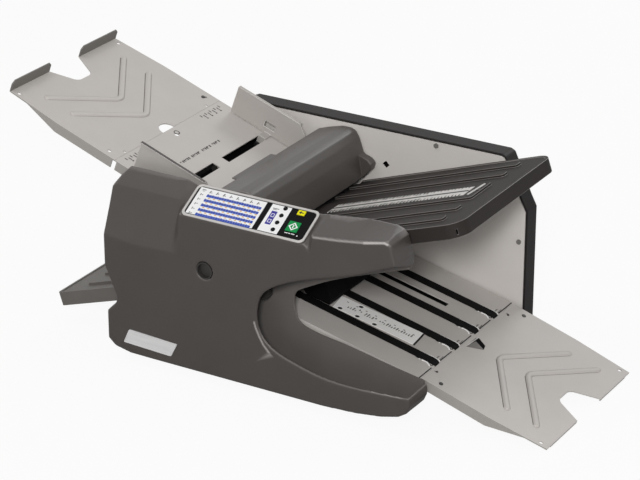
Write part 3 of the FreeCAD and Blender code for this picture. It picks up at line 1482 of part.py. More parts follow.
def make_exit_deck():
    """The slotted deck with its curled right end and side skirts."""
    half, curl = float(deck_width / 2), float(s.deck_curl)
    left, right = float(s.deck_start_x), float(s.deck_end_x)
    top = [(left, float(deck_height(left)))]
    for u, v in DECK_END_SHARES:
        top.append((right - u * curl, float(deck_height(right - u * curl)) - v * curl))
    top.append((right, float(deck_height(right)) - float(s.deck_drop)))
    low = shifted_points(top, -float(s.sheet_thick), closed=False)
    deck = prism(top + low[::-1], -half, half)
    tall, wide = float(s.cover_height), float(s.belt_slot)
    start = left + float(s.belt_slot_from)
    for place_y in (-s.belt_outer_place, -s.belt_inner_place, s.belt_inner_place, s.belt_outer_place):
        corner = FreeCAD.Vector(start, float(place_y) - wide / 2, 0)
        deck = deck.cut(Part.makeBox(right + curl - start, wide, tall, corner))
    wide = float(s.slot_strip_wide)
    corner = FreeCAD.Vector(left + float(s.slot_strip_from), float(s.slot_strip_place) - wide / 2, 0)
    deck = deck.cut(Part.makeBox(float(s.slot_strip_long), wide, tall, corner))
    edge = top[:-2]
    skirt = prism(edge + [(u, v - float(s.deck_skirt)) for u, v in edge[::-1]], 0.0, float(s.sheet_thick))
    for y in (-half, half - float(s.sheet_thick)):
        side = skirt.copy()
        side.translate(FreeCAD.Vector(0, y, 0))
        deck = deck.fuse(side)
    reach = float(plate_gap / 2 - s.seat_gap)
    long = reach - half + float(s.sheet_thick)
    lug_long, lug_high = float(s.lug_long), float(s.lug_high)
    for spot in (left + lug_long, right - 3 * lug_long):
        base = float(deck_height(spot)) - float(s.deck_skirt) + lug_high / 2
        for side_y in (-reach, half - float(s.sheet_thick)):
            deck = deck.fuse(Part.makeBox(lug_long, long, lug_high, FreeCAD.Vector(spot, side_y, base)))
    far_out = float(s.case_width)
    for x, z in exit_axles.values():
        bore = float(s.exit_axle_radius + s.running_gap)
        deck = deck.cut(hole_bar(float(x), float(z), bore, -far_out, far_out))
    deck = deck.removeSplitter()
    keep(feature("exit_deck", deck, float(world_x(0.0)), float(path_y), float(world_z(0.0))), "exit_deck")


def make_exit_belts():
    wide, thick = float(s.exit_belt_wide), float(s.exit_belt_thick)
    places = (-s.belt_outer_place, -s.belt_inner_place, s.belt_inner_place, s.belt_outer_place)
    belts = []
    first, second = at(*exit_axles["drive"]), at(*exit_axles["idle"])
    radius = float(s.exit_roller_radius)
    for place_y in places:
        y = float(path_y + place_y) - wide / 2
        belts.append(belt_loop("exit_belt", first, second, radius, radius, y, wide, thick))
    keep(feature("exit_belts", Part.makeCompound(belts)), "exit_belts")
    start = path_y - deck_width / 2 - s.overrun / 2
    ends = {"drive": far_in + s.exit_layer + s.pulley_wide, "idle": path_y + deck_width / 2}
    names = {"drive": "exit_drive_shaft", "idle": "exit_end_rollers"}
    for key, (x, z) in exit_axles.items():
        parts = [rod(
            f"exit_axle_{key}", world_x(x), start, world_z(z), ends[key] - start, s.exit_axle_radius,
        )]
        for count, place_y in enumerate(places):
            parts.append(rod(
                f"exit_wheel_{key}_{count}", world_x(x), path_y + place_y - s.belt_slot / 2 + s.tooth_slack,
                world_z(z), s.belt_slot - 2 * s.tooth_slack, s.exit_roller_radius,
            ))
        if key == "drive":
            y = far_in + s.exit_layer
            parts.append(rod(
                "exit_end_pulley", world_x(x), y, world_z(z), s.pulley_wide, s.exit_pulley_radius,
            ))
        keep(fuse(names[key], parts), names[key])


def deck_scale():
    """The scale plate on the deck between the two near belts, with its four round holes."""
    middle = -(s.belt_outer_place + s.belt_inner_place) / 2
    start = s.label_from
    circles = [
        (start + u * s.label_long, middle + v * s.label_wide, s.tray_hole_radius) for u, v in DECK_HOLE_SHARES
    ]
    loop = box_loop(start, start + s.label_long, middle - s.label_wide / 2, middle + s.label_wide / 2)
    plate = slab("deck_scale", "XY", [loop], s.scale_thick, circles, centred=False)
    return place(
        plate, world_x(s.deck_start_x), path_y, world_z(deck_height(s.deck_start_x)), ALONG_Y, s.deck_slope,
    )


def make_exit_guard():
    """A black cowl over the inner end of the belts, hung from a bar between the side plates."""
    x, z = float(guard_x), float(guard_z)
    long, high = float(s.guard_long), float(s.guard_high)
    thick, half = float(s.guard_thick), float(s.guard_wide / 2)
    outline = [(x + u * long, z + v * high) for u, v in GUARD_SHARES]
    front = outline[guard_back_count - 1:]
    inner = shifted_points(front, -thick, closed=False)
    cowl = prism(front + inner[::-1], -half, half)
    for y in (-half, half - thick):
        cowl = cowl.fuse(prism(outline, y, y + thick))
    reach = float(plate_gap / 2 - s.seat_gap)
    u, v = guard_rod_shares
    cowl = cowl.fuse(hole_bar(x + u * long, z + v * high, float(s.guard_rod), -reach, reach)).removeSplitter()
    keep(feature("exit_guard", cowl, float(world_x(0.0)), float(path_y), float(world_z(0.0))), "exit_guard")


def make_stacker_tray():
    pieces = tray_sheet("stacker", 1, s.stacker_length, s.stacker_hole_from, s.stacker_lead)
    half = tray_width / 2 - s.taper_inset
    inner = s.notch_mouth / 2
    for name, y in (("near", -half + s.notch_round), ("far", inner)):
        lip = box(
            f"stacker_lip_{name}", s.stacker_length - s.sheet_thick, y, -s.stacker_lip,
            s.sheet_thick, half - inner - s.notch_round, s.stacker_lip,
        )
        pieces.append(lip)
    reach = s.finger_radius
    loop = [(reach, reach / 4), (s.overrun, reach), (s.overrun, -reach / 3)]
    window = slab("stacker_window", "XY", [loop], 2 * s.sheet_thick + s.rib_high)
    sheet = cut("stacker_tray", fuse("stacker_joined", pieces), [window])
    place(sheet, world_x(s.stacker_start_x), path_y, world_z(s.stacker_start_z), ALONG_Y, s.stacker_slope)
    keep(sheet, "stacker_tray")


# Control panel: drawn flat about its centre, then laid on the near cover's slope
def lay_on_panel(thing):
    thing.Placement = panel_frame()
    return thing


def make_panel():
    half_long, half_wide = s.panel_length / 2, s.panel_width / 2
    corner = s.bezel_round
    inner_long, inner_wide = half_long - s.bezel_border, half_wide - s.bezel_border
    tight = corner - s.bezel_border + s.panel_edge
    loops = [round_loop(half_long, half_wide, corner), round_loop(inner_long, inner_wide, tight)]
    keep(lay_on_panel(slab("panel_bezel", "XY", loops, s.bezel_height, centred=False)), "panel_bezel")
    circles, loops = [], [round_loop(inner_long - s.seat_gap, inner_wide - s.seat_gap, tight)]
    for name, (u, v) in key_places().items():
        sides = key_sides(name)
        if sides is None:
            circles.append((u, v, s.button_radius + s.button_gap))
        else:
            across, up = (side / 2 + s.button_gap for side in sides)
            loops.append(box_loop(u - across, u + across, v - up, v + up))
    face = slab("panel_face", "XY", loops, s.panel_sheet_thick, circles, centred=False)
    keep(lay_on_panel(face), "panel_face")
    for name, (u, v) in key_places().items():
        keep(lay_on_panel(button(name, u, v)), name)


def round_loop(long, wide, corner):
    """A rounded rectangle about the middle, from its half sides."""
    return [(-long, -wide, corner), (long, -wide, corner), (long, wide, corner), (-long, wide, corner)]


def key_sides(name):
    """The two sides of a square-cornered key, or nothing for a round button."""
    return {"jog_key": (s.jog_long, s.jog_wide), "start_key": (s.start_long, s.start_wide)}.get(name)


def key_places():
    spots = {}
    for count in range(4):
        row = s.button_row + (3 - 2 * count) * s.button_pitch / 2
        spots[f"button_{count + 1}"] = (s.button_column, row)
    spots["jog_key"] = (s.key_column, s.jog_row)
    spots["start_key"] = (s.key_column, s.start_row)
    return spots


def button(name, u, v):
    """A cap in its hole of the panel's sheet, over a stem that reaches the board's switch."""
    low = s.button_travel + s.button_gap
    high = s.panel_sheet_thick + s.button_proud - low
    sides = key_sides(name)
    if sides is None:
        cap = post(f"{name}_cap", u, v, low, high, s.button_radius)
    else:
        long, wide = sides
        cap = box(f"{name}_cap", u - long / 2, v - wide / 2, low, long, wide, high)
    drop = s.button_stem_drop
    stem = post(f"{name}_stem", u, v, -drop, drop + low + high / 2, s.button_stem)
    return fuse(name, [cap, stem])


def make_control_board():
    """The board behind the panel with a switch under every stem, on posts from the cover."""
    top = -s.board_drop + s.board_thick
    wide = s.board_low_edge + s.board_high_edge
    pieces = [box(
        "board_sheet", -s.board_long / 2, -s.board_low_edge, -s.board_drop, s.board_long, wide, s.board_thick,
    )]
    half = s.tact_side / 2
    for name, (u, v) in key_places().items():
        if float(v) > float(s.board_high_edge):
            v = s.board_high_edge - half
        tact_top = -s.button_stem_drop - s.button_travel - s.tact_gap
        pieces.append(box(
            f"tact_{name}", u - half, v - half, top - s.board_thick / 2, s.tact_side, s.tact_side,
            tact_top - top + s.board_thick / 2,
        ))
    for name, side in (("left", -1), ("right", 1)):
        pieces.append(post(
            f"board_post_{name}", side * (s.board_long / 2 - s.lug_long / 2), 0, top - s.board_thick / 2,
            -top + s.board_thick / 2 - s.wall, s.screw_radius,
        ))
    keep(lay_on_panel(fuse("board_on_posts", pieces)), "control_board")


def make_trim():
    """The blank badge plate, the port plug and the screws."""
    badge = box(
        "badge_plate", world_x(s.badge_x) - s.badge_length / 2, near_face - s.badge_thick,
        world_z(s.badge_z) - s.badge_height / 2, s.badge_length, s.badge_thick, s.badge_height,
    )
    keep(badge, "badge_plate")
    x, z = world_x(s.port_x), world_z(s.port_z)
    cup = rod("port_cup", x, near_face, z, s.port_depth, s.port_radius + s.port_lip - s.seat_gap)
    dish = rod("port_dish", x, near_face - s.overrun, z, s.port_depth - s.wall + s.overrun, s.port_radius)
    keep(cut("port_plug", cup, [dish]), "port_plug")
    heads = []
    rows = (("plate", PLATE_SCREW_SHARES, far_in - s.screw_high), ("cover", COVER_SCREW_SHARES, far_face))
    for name, shares, y in rows:
        for count, (u, v) in enumerate(shares):
            x = world_x(u * (s.cover_left + s.far_cover_right) - s.cover_left)
            z = world_z(v * s.far_cover_top)
            heads.append(rod(f"{name}_screw_{count}", x, y, z, s.screw_high, s.screw_radius))
    keep(fuse("case_screws", heads), "case_screws")


def make_power():
    """The mains inlet and the rocker switch in the far cover."""
    face, edge, wall = far_face, s.panel_edge, s.wall
    inlet_x = world_x(s.inlet_x) - s.inlet_long / 2
    low = world_z(s.inlet_z) - s.inlet_high / 2
    body = box("inlet_body", inlet_x, face - s.inlet_deep, low, s.inlet_long, s.inlet_deep, s.inlet_high)
    rim = box(
        "inlet_rim", inlet_x - wall, face, low - wall, s.inlet_long + 2 * wall, edge, s.inlet_high + 2 * wall,
    )
    well = box(
        "inlet_well", inlet_x + wall / 2, face - s.inlet_deep + wall, low + wall / 2, s.inlet_long - wall,
        s.inlet_deep, s.inlet_high - wall,
    )
    blades = [cut("inlet_shell", fuse("inlet_solid", [body, rim]), [well])]
    for count, (u, v) in enumerate(BLADE_SHARES):
        blades.append(box(
            f"inlet_blade_{count}", world_x(s.inlet_x) + u * s.inlet_long - edge / 2,
            face - s.inlet_deep + wall / 2, world_z(s.inlet_z) + v * s.inlet_high - wall / 2, edge,
            s.inlet_deep * blade_reach_share, wall,
        ))
    keep(fuse("power_inlet", blades), "power_inlet")
    x, z = world_x(s.switch_x), world_z(s.inlet_z)
    long, tall = s.switch_long, s.switch_high
    frame = box("switch_body", x - long / 2, face - s.inlet_deep, z - tall / 2, long, s.inlet_deep, tall)
    lip = box(
        "switch_lip", x - long / 2 - wall / 2, face, z - tall / 2 - wall / 2, long + wall, edge, tall + wall,
    )
    hollow = box(
        "switch_hollow", x - long / 2 + edge, face - s.inlet_deep + edge, z - tall / 2 + edge,
        long - 2 * edge, s.inlet_deep + wall, tall - 2 * edge,
    )
    axis_y = face - s.rocker_sink
    high = tall - 2 * edge - 2 * s.seat_gap
    low = z - tall / 2 + edge / 3
    pin_long = tall - 2 * edge / 3
    bore = post("switch_bore", x, axis_y, z - tall, 2 * tall, s.pivot_radius + s.running_gap)
    keep(cut("switch_frame", fuse("switch_solid", [frame, lip]), [hollow, bore]), "switch_frame")
    reach = long / 2 - edge - s.rocker_end_gap
    rise, dip = s.rocker_sink + s.rocker_rise, s.rocker_sink / 2
    outline = [(-reach, -dip), (reach, -dip), (reach, rise), (0, rise - s.rocker_dish), (-reach, rise)]
    paddle = slab("rocker_paddle", "XY", [outline], high)
    pin = post("rocker_pin", 0, 0, -pin_long / 2, pin_long, s.pivot_radius)
    rocker = fuse("power_rocker", [paddle, pin])
    keep(place(rocker, x, axis_y, low + pin_long / 2, UP, s.rocker_tilt), "power_rocker")


make_near_cover()
make_far_cover()
make_side_plates()
make_base()
make_feed_table()
make_feed_extension()
make_guides()
make_rack_drive()
make_separator()
make_hood()
make_feed_roller()
make_fold_rollers()
make_bearings()
make_motor_drive()
make_fold_plates()
make_exit_deck()
make_exit_belts()
make_exit_guard()
make_stacker_tray()
make_panel()
make_control_board()
make_trim()
make_power()

doc.recompute()
for thing in doc.Objects:
    if "Invalid" in thing.State or "Error" in thing.State:
        raise RuntimeError(f"{thing.Name} did not build: {thing.State}")
for thing in nodes:
    if thing.Shape.isNull() or not thing.Shape.isValid() or not thing.Shape.Solids:
        raise RuntimeError(f"{thing.Label} has no sound shape")
os.makedirs("parts", exist_ok=True)
for thing in nodes:
    thing.Shape.exportStep(f"parts/{thing.Label}.step")
low = [min(getattr(thing.Shape.BoundBox, name) for thing in nodes) for name in ("XMin", "YMin", "ZMin")]
high = [max(getattr(thing.Shape.BoundBox, name) for thing in nodes) for name in ("XMax", "YMax", "ZMax")]
reach = [[round(value, 2) for value in corner] for corner in (low, high)]
print("pieces", len(nodes), "from", reach[0], "to", reach[1])
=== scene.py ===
import json
import math

import bmesh
import bpy
import numpy as np
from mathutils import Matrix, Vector
from mathutils.geometry import tessellate_polygon

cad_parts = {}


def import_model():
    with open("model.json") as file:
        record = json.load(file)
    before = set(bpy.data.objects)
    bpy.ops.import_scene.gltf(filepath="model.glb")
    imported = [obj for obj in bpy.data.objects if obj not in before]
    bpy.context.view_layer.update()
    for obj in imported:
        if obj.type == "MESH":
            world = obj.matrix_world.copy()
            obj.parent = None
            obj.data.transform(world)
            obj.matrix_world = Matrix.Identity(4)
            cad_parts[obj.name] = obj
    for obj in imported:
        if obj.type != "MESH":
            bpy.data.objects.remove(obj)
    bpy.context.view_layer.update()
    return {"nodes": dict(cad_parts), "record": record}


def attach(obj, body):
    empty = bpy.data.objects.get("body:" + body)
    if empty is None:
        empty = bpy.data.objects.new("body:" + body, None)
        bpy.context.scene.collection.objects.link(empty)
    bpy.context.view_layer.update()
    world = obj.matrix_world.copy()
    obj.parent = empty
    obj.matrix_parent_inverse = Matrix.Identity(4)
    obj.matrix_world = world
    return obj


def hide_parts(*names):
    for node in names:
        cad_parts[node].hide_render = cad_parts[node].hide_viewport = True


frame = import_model()
NODES = frame["nodes"]
SLOT_OF = {row["node"]: row["material_slot"] for row in frame["record"]["subparts"]}
BODY_OF = {n: b for b, ns in frame["record"]["behaviour"]["bodies"].items() for n in ns}
MM = 0.001
# The working frame: x from the datum line, y from the near cover's face, z from its lower rim
SHIFT = Vector((8.665, -164.0, 13.0)) * MM
PATH = 171.5


def at(x, y, z):
    """A point of the working frame, given in millimetres."""
    return Vector((x, y, z)) * MM + SHIFT


class Slope:
    """A tilted surface with its own u along it, v across it and n out of it, in millimetres."""

    def __init__(self, origin, degrees, across=False):
        turn = math.radians(degrees)
        self.origin = at(*origin)
        self.u = Vector((1, 0, 0)) if across else Vector((math.cos(turn), 0, math.sin(turn)))
        self.v = Vector((0, math.cos(turn), math.sin(turn))) if across else Vector((0, 1, 0))
        self.n = self.u.cross(self.v)

    def point(self, u, v, n=0.0):
        return self.origin + (self.u * u + self.v * v + self.n * n) * MM

    def local(self, spot):
        off = (spot - self.origin) / MM
        return off.dot(self.u), off.dot(self.v), off.dot(self.n)


class RolledSlope(Slope):
    """A slope whose outer end bends down along a profile of u against the drop."""

    def __init__(self, origin, degrees, profile):
        super().__init__(origin, degrees)
        self.profile = profile

    def point(self, u, v, n=0.0):
        drop = float(np.interp(u, [row[0] for row in self.profile], [row[1] for row in self.profile]))
        return super().point(u, v, n + drop)


FEED = Slope((-228.0, PATH, 232.0), -20.0)
STACK = Slope((210.0, PATH, 43.0), -17.5)
DECK = Slope((-8.0, PATH, 93.17), -13.0)
DECK_END = RolledSlope(
    (-8.0, PATH, 93.17), -13.0, ((215.5, 0.0), (219.8, -1.1), (222.1, -3.9), (223.7, -8.8), (224.6, -12.7)),
)
UPPER = Slope((2.7, PATH, 169.2), 19.0)
LOWER = Slope((-20.0, PATH, 128.0), 18.0)
FRONT = Slope((0.0, 0.0, 0.0), 90.0, across=True)
PANEL = Slope((-12.5, 23.5, 218.0), math.degrees(math.atan2(24.0, 44.0)), across=True)


# Materials
def srgb(r, g, b):
    def linear(c):
        c /= 255.0
        return c / 12.92 if c <= 0.04045 else ((c + 0.055) / 1.055) ** 2.4
    return (linear(r), linear(g), linear(b), 1.0)


EDGE = "edge"


class Nodes:
    """A short way to add and join shader nodes."""

    def __init__(self, tree):
        self.tree = tree
        tree.nodes.clear()

    def add(self, kind, **values):
        node = self.tree.nodes.new(f"ShaderNode{kind}")
        for name, value in values.items():
            setattr(node, name, value)
        return node

    def join(self, source, target):
        self.tree.links.new(source, target)


def finish(name, colour, rough=0.5, metallic=0.0, grain=1500.0, bump=0.05, vary=0.05, rough_vary=0.06,
           large=22.0, specular=0.5, stretch=(1, 1, 1), painted_highlight=0.0, depth=0.0004):
    """Fine relief, a slow colour drift, uneven gloss and, where asked, a painted highlight mixed in by the edge
    attribute.
    """
    mat = bpy.data.materials.new(name)
    mat.use_nodes = True
    kit = Nodes(mat.node_tree)
    out = kit.add("OutputMaterial")
    bsdf = kit.add("BsdfPrincipled")
    kit.join(bsdf.outputs["BSDF"], out.inputs["Surface"])
    bsdf.inputs["Metallic"].default_value = metallic
    bsdf.inputs["Specular IOR Level"].default_value = specular
    coord, mapping = kit.add("TexCoord"), kit.add("Mapping")
    mapping.inputs["Scale"].default_value = stretch
    kit.join(coord.outputs["Object"], mapping.inputs["Vector"])
    fine, slow = kit.add("TexNoise"), kit.add("TexNoise")
    fine.inputs["Scale"].default_value, fine.inputs["Detail"].default_value = grain, 3.0
    slow.inputs["Scale"].default_value, slow.inputs["Detail"].default_value = large, 5.0
    for texture in (fine, slow):
        kit.join(mapping.outputs["Vector"], texture.inputs["Vector"])
    ramp = kit.add("ValToRGB")
    for stop, place, factor in ((0, 0.3, 1 - vary), (1, 0.7, 1 + vary)):
        ramp.color_ramp.elements[stop].position = place
        ramp.color_ramp.elements[stop].color = [min(1.0, c * factor) for c in colour[:3]] + [1.0]
    kit.join(slow.outputs["Fac"], ramp.inputs["Fac"])
    tone = ramp.outputs["Color"]
    if painted_highlight:
        edge, mix = kit.add("Attribute"), kit.add("Mix", data_type="RGBA")
        edge.attribute_name = EDGE
        share = kit.add("MapRange")
        share.inputs["To Max"].default_value = painted_highlight
        kit.join(edge.outputs["Fac"], share.inputs["Value"])
        kit.join(share.outputs["Result"], mix.inputs["Factor"])
        kit.join(tone, mix.inputs["A"])
        # Painted highlight: a much lighter colour, mixed in where the edge attribute is high
        mix.inputs["B"].default_value = [min(1.0, c * 4.0 + 0.3) for c in colour[:3]] + [1.0]
        tone = mix.outputs["Result"]
    kit.join(tone, bsdf.inputs["Base Color"])
    spread = kit.add("MapRange")
    spread.inputs["To Min"].default_value = max(0.02, rough - rough_vary)
    spread.inputs["To Max"].default_value = min(1.0, rough + rough_vary)
    kit.join(fine.outputs["Fac"], spread.inputs["Value"])
    kit.join(spread.outputs["Result"], bsdf.inputs["Roughness"])
    relief = kit.add("Bump")
    relief.inputs["Strength"].default_value = bump
    relief.inputs["Distance"].default_value = depth
    kit.join(fine.outputs["Fac"], relief.inputs["Height"])
    kit.join(relief.outputs["Normal"], bsdf.inputs["Normal"])
    return mat


M = {
    # The casing mixes in a painted highlight along its upward-facing bends and highlight lines
    "casing": finish("casing", srgb(66, 61, 58), 0.45, grain=1800, bump=0.25, vary=0.04, painted_highlight=0.95),
    "fold_plate": finish("fold_plate", srgb(46, 42, 40), 0.6, grain=1600, bump=0.25, specular=0.14),
    "panel_metal": finish("panel_metal", srgb(186, 181, 176), 0.5, grain=2600, bump=0.12, vary=0.02),
    "tray_metal": finish("tray_metal", srgb(193, 188, 183), 0.5, grain=2600, bump=0.12, vary=0.025),
    "guide_metal": finish("guide_metal", srgb(177, 172, 167), 0.5, grain=2600, bump=0.12, vary=0.025),
    "steel": finish("steel", (0.5, 0.5, 0.51, 1), 0.3, 1.0, grain=900, bump=0.06, stretch=(1, 8, 1)),
    "roller_rubber": finish("roller_rubber", srgb(34, 33, 33), 0.7, grain=1400, bump=0.3, vary=0.1),
    "belt_rubber": finish("belt_rubber", srgb(13, 12, 12), 0.75, grain=1600, bump=0.3, vary=0.12, specular=0.12),
    "foot_rubber": finish("foot_rubber", srgb(24, 24, 24), 0.8, grain=1200, bump=0.3, vary=0.12),
    "gear_nylon": finish("gear_nylon", srgb(52, 49, 47), 0.5, grain=1200, bump=0.06),
    "motor_steel": finish("motor_steel", srgb(62, 62, 64), 0.4, grain=1200, bump=0.1),
    "guard_black": finish("guard_black", srgb(7, 6, 7), 0.85, grain=1800, bump=0.2, specular=0.08),
    "scale_film": finish("scale_film", srgb(212, 209, 205), 0.36, grain=500, bump=0.05, stretch=(1, 12, 1)),
    "bezel_grey": finish("bezel_grey", srgb(196, 193, 190), 0.35, grain=1500, bump=0.04, vary=0.02),
    "panel_film": finish("panel_film", srgb(9, 8, 10), 0.5, grain=1500, bump=0.04, specular=0.08),
    "key_black": finish("key_black", srgb(9, 9, 11), 0.5, grain=1500, bump=0.05, specular=0.1),
    "key_yellow": finish("key_yellow", srgb(236, 228, 10), 0.5, grain=1500, bump=0.05, specular=0.2),
    "key_green": finish("key_green", srgb(8, 140, 70), 0.5, grain=1500, bump=0.05, specular=0.2),
    "badge_silver": finish("badge_silver", srgb(214, 213, 213), 0.34, grain=500, bump=0.05, stretch=(1, 10, 10)),
    "plug_grey": finish("plug_grey", srgb(46, 43, 41), 0.5, grain=1500, bump=0.25),
    "board_green": finish("board_green", srgb(40, 96, 60), 0.4, grain=700, bump=0.1, vary=0.15),
    "black_plastic": finish("black_plastic", srgb(22, 21, 21), 0.5, grain=1500, bump=0.2),
    "pad_cork": finish("pad_cork", srgb(112, 80, 56), 0.85, grain=700, bump=0.5, vary=0.25),
}
# A darker copy of the casing colour for the far cover: painted shade on its inner side
SHADED_FAR_COVER = finish("far_cover_painted_shade", srgb(27, 24, 23), 0.55, grain=1800, bump=0.25, specular=0.2)
# A lighter copy of the panel metal for the far side plate: painted light in its recess
LIT_FAR_PLATE = finish("far_plate_painted_light", srgb(214, 209, 204), 0.5, grain=2600, bump=0.12, vary=0.02)
# The hood mixes in the same painted highlight along its upward-facing bends
HOOD = finish("hood", srgb(78, 74, 71), 0.42, grain=1800, bump=0.25, vary=0.04, painted_highlight=0.95)
LOWER_PLATE = finish("lower_plate", srgb(100, 96, 92), 0.5, grain=1600, bump=0.25, specular=0.3)
INNER = finish("inner_plate", srgb(100, 96, 93), 0.55, grain=1600, bump=0.2, specular=0.2)
# A darker grey: painted shade on the trays' upturned flanges, the stacker tab and beside the belts at the deck's end;
# also the case screws' own colour
FLANGE = finish("flange_shade", srgb(116, 113, 109), 0.5, grain=2600, bump=0.12, vary=0.03)
RIB_SHADE = finish("rib_painted_shade", srgb(150, 146, 141), 0.6, grain=2600, bump=0.1, vary=0.06)
DEEP_RIB_SHADE = finish("rib_painted_deep_shade", srgb(84, 81, 78), 0.6, grain=2600, bump=0.1, vary=0.1)
GUIDE_EDGE_SHADE = finish("guide_edge_painted_shade", srgb(66, 62, 59), 0.55, grain=2600, bump=0.1, vary=0.06)
# Painted shade for the folded sides of the trays
SKIRT = finish("skirt_shade", srgb(158, 154, 149), 0.5, grain=2600, bump=0.12, vary=0.03)
# Lighter copies of the materials for bevelled edges: a painted highlight
BEVEL_HIGHLIGHT = {
    "casing": finish("casing_edge_highlight", srgb(104, 100, 97), 0.38, grain=1800, bump=0.15, vary=0.1),
    "fold_plate": finish("fold_plate_edge_highlight", srgb(108, 104, 101), 0.4, grain=1600, bump=0.15, vary=0.1),
    "metal": finish("metal_edge_highlight", srgb(216, 213, 210), 0.4, grain=2600, bump=0.08, vary=0.06),
}
BEVEL_HIGHLIGHT_OF = {
    "casing": BEVEL_HIGHLIGHT["casing"], "fold_plate": BEVEL_HIGHLIGHT["fold_plate"], "panel_metal": BEVEL_HIGHLIGHT["metal"],
    "tray_metal": BEVEL_HIGHLIGHT["metal"], "guide_metal": BEVEL_HIGHLIGHT["metal"],
}
PAPER = finish("print_white", srgb(240, 240, 240), 0.4, grain=1500, bump=0.03, vary=0.01)
INK = finish("print_dark", srgb(16, 15, 15), 0.6, grain=1500, bump=0.03)
GREY_INK = finish("print_grey", srgb(92, 88, 84), 0.5, grain=1500, bump=0.03)
BLUE = finish("print_blue", srgb(34, 68, 168), 0.6, grain=1500, bump=0.03)
SAND = finish("print_sand", srgb(224, 180, 96), 0.6, grain=1500, bump=0.03)
INDIGO = finish("display_indigo", srgb(38, 26, 140), 0.5, grain=1500, bump=0.02)
DECK_WHITE = finish("deck_white", srgb(252, 250, 247), 0.4, grain=1500, bump=0.04, vary=0.02)
HIGHLIGHT_METAL = finish("painted_highlight_metal", srgb(252, 251, 249), 0.3, grain=2000, bump=0.04, vary=0.03)


# Pieces
def settle(name, mesh, body, material, replaced=()):
    """Link a finished mesh with its one material, parent it to its body and hide the nodes it stands for."""
    piece = bpy.data.objects.new(name, mesh)
    bpy.context.scene.collection.objects.link(piece)
    mesh.materials.clear()
    mesh.materials.append(material)
    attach(piece, body)
    if replaced:
        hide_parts(*replaced)
    return piece


def shade(mesh, angle):
    mesh.polygons.foreach_set("use_smooth", [True] * len(mesh.polygons))
    mesh.set_sharp_from_angle(angle=math.radians(angle))


def welded(node, flat=0.0, change=None):
    """A welded copy of a node's mesh, changed and with flat faces joined where asked."""
    bm = bmesh.new()
    bm.from_mesh(NODES[node].data)
    bmesh.ops.remove_doubles(bm, verts=bm.verts, dist=2e-6)
    if change:
        change(bm)
        bmesh.ops.remove_doubles(bm, verts=bm.verts, dist=2e-5)
    if flat:
        bmesh.ops.dissolve_limit(bm, angle_limit=math.radians(flat), verts=bm.verts, edges=bm.edges)
    return bm


def dress(node, bevel, segments=2, angle=28, flat=0.3, material=None, change=None):
    """A copy of a node with softened edges that stands for it."""
    bm = welded(node, flat, change)
    mesh = bpy.data.meshes.new(f"{node}_form")
    bm.to_mesh(mesh)
    bm.free()
    shade(mesh, angle)
    slot = SLOT_OF[node]
    piece = settle(f"{node}_form", mesh, BODY_OF[node], material or M[slot], (node,))
    edge = piece.modifiers.new("softened_edges", "BEVEL")
    edge.width, edge.segments = bevel * MM, segments
    edge.limit_method, edge.angle_limit = "ANGLE", math.radians(angle)
    # Painted highlight: the bevel faces take the lighter copy of the material
    if slot in BEVEL_HIGHLIGHT_OF and not material:
        mesh.materials.append(BEVEL_HIGHLIGHT_OF[slot])
        edge.material = 1
    even = piece.modifiers.new("even_normals", "WEIGHTED_NORMAL")
    even.keep_sharp = True
    return piece


def soften(mesh, passes, ease, lines=()):
    """Evens out a fine mesh, eased off where ease is small, and stores a painted highlight share on its upward-facing
    bends and along the given lines.
    """
    count = len(mesh.vertices)
    spots = np.empty(count * 3)
    mesh.vertices.foreach_get("co", spots)
    spots = spots.reshape(-1, 3)
    ends = np.empty(len(mesh.edges) * 2, dtype=np.int64)
    mesh.edges.foreach_get("vertices", ends)
    one, two = ends.reshape(-1, 2).T
    from_, to = np.concatenate((one, two)), np.concatenate((two, one))
    degree = np.maximum(np.bincount(from_, minlength=count), 1)
    weight = ease(spots)[:, None]

    def mean(values):
        return np.stack([np.bincount(from_, values[to, k], count) for k in range(values.shape[1])], 1) / degree[:, None]

    for _ in range(passes):
        spots += 0.5 * weight * (mean(spots) - spots)
    mesh.vertices.foreach_set("co", spots.ravel())
    mesh.update()
    out = np.empty(count * 3)
    mesh.vertices.foreach_get("normal", out)
    bend = ((spots - mean(spots)) * out.reshape(-1, 3)).sum(1)[:, None] / MM
    for _ in range(2):
        bend = 0.5 * bend + 0.5 * mean(bend)
    # Painted highlight share: sharp bends facing upwards, then the given highlight lines
    share = np.clip((bend[:, 0] - BEND_LOW) / (BEND_HIGH - BEND_LOW), 0, 1)
    share *= np.clip((out.reshape(-1, 3)[:, 2] - 0.3) / 0.3, 0, 1) * BEND_SHARE
    places = (spots - np.array(SHIFT)) / MM
    for strength, reach, points in lines:
        points = np.array(points, dtype=float)
        for a, b in zip(points, points[1:]):
            along = b - a
            t = np.clip(((places - a) @ along) / (along @ along), 0, 1)[:, None]
            far = np.linalg.norm(places - (a + t * along), axis=1)
            share = np.maximum(share, strength * np.clip(1.6 - far / reach, 0, 1))
    layer = mesh.attributes.new(EDGE, "FLOAT", "POINT")
    layer.data.foreach_set("value", share.astype(np.float32))


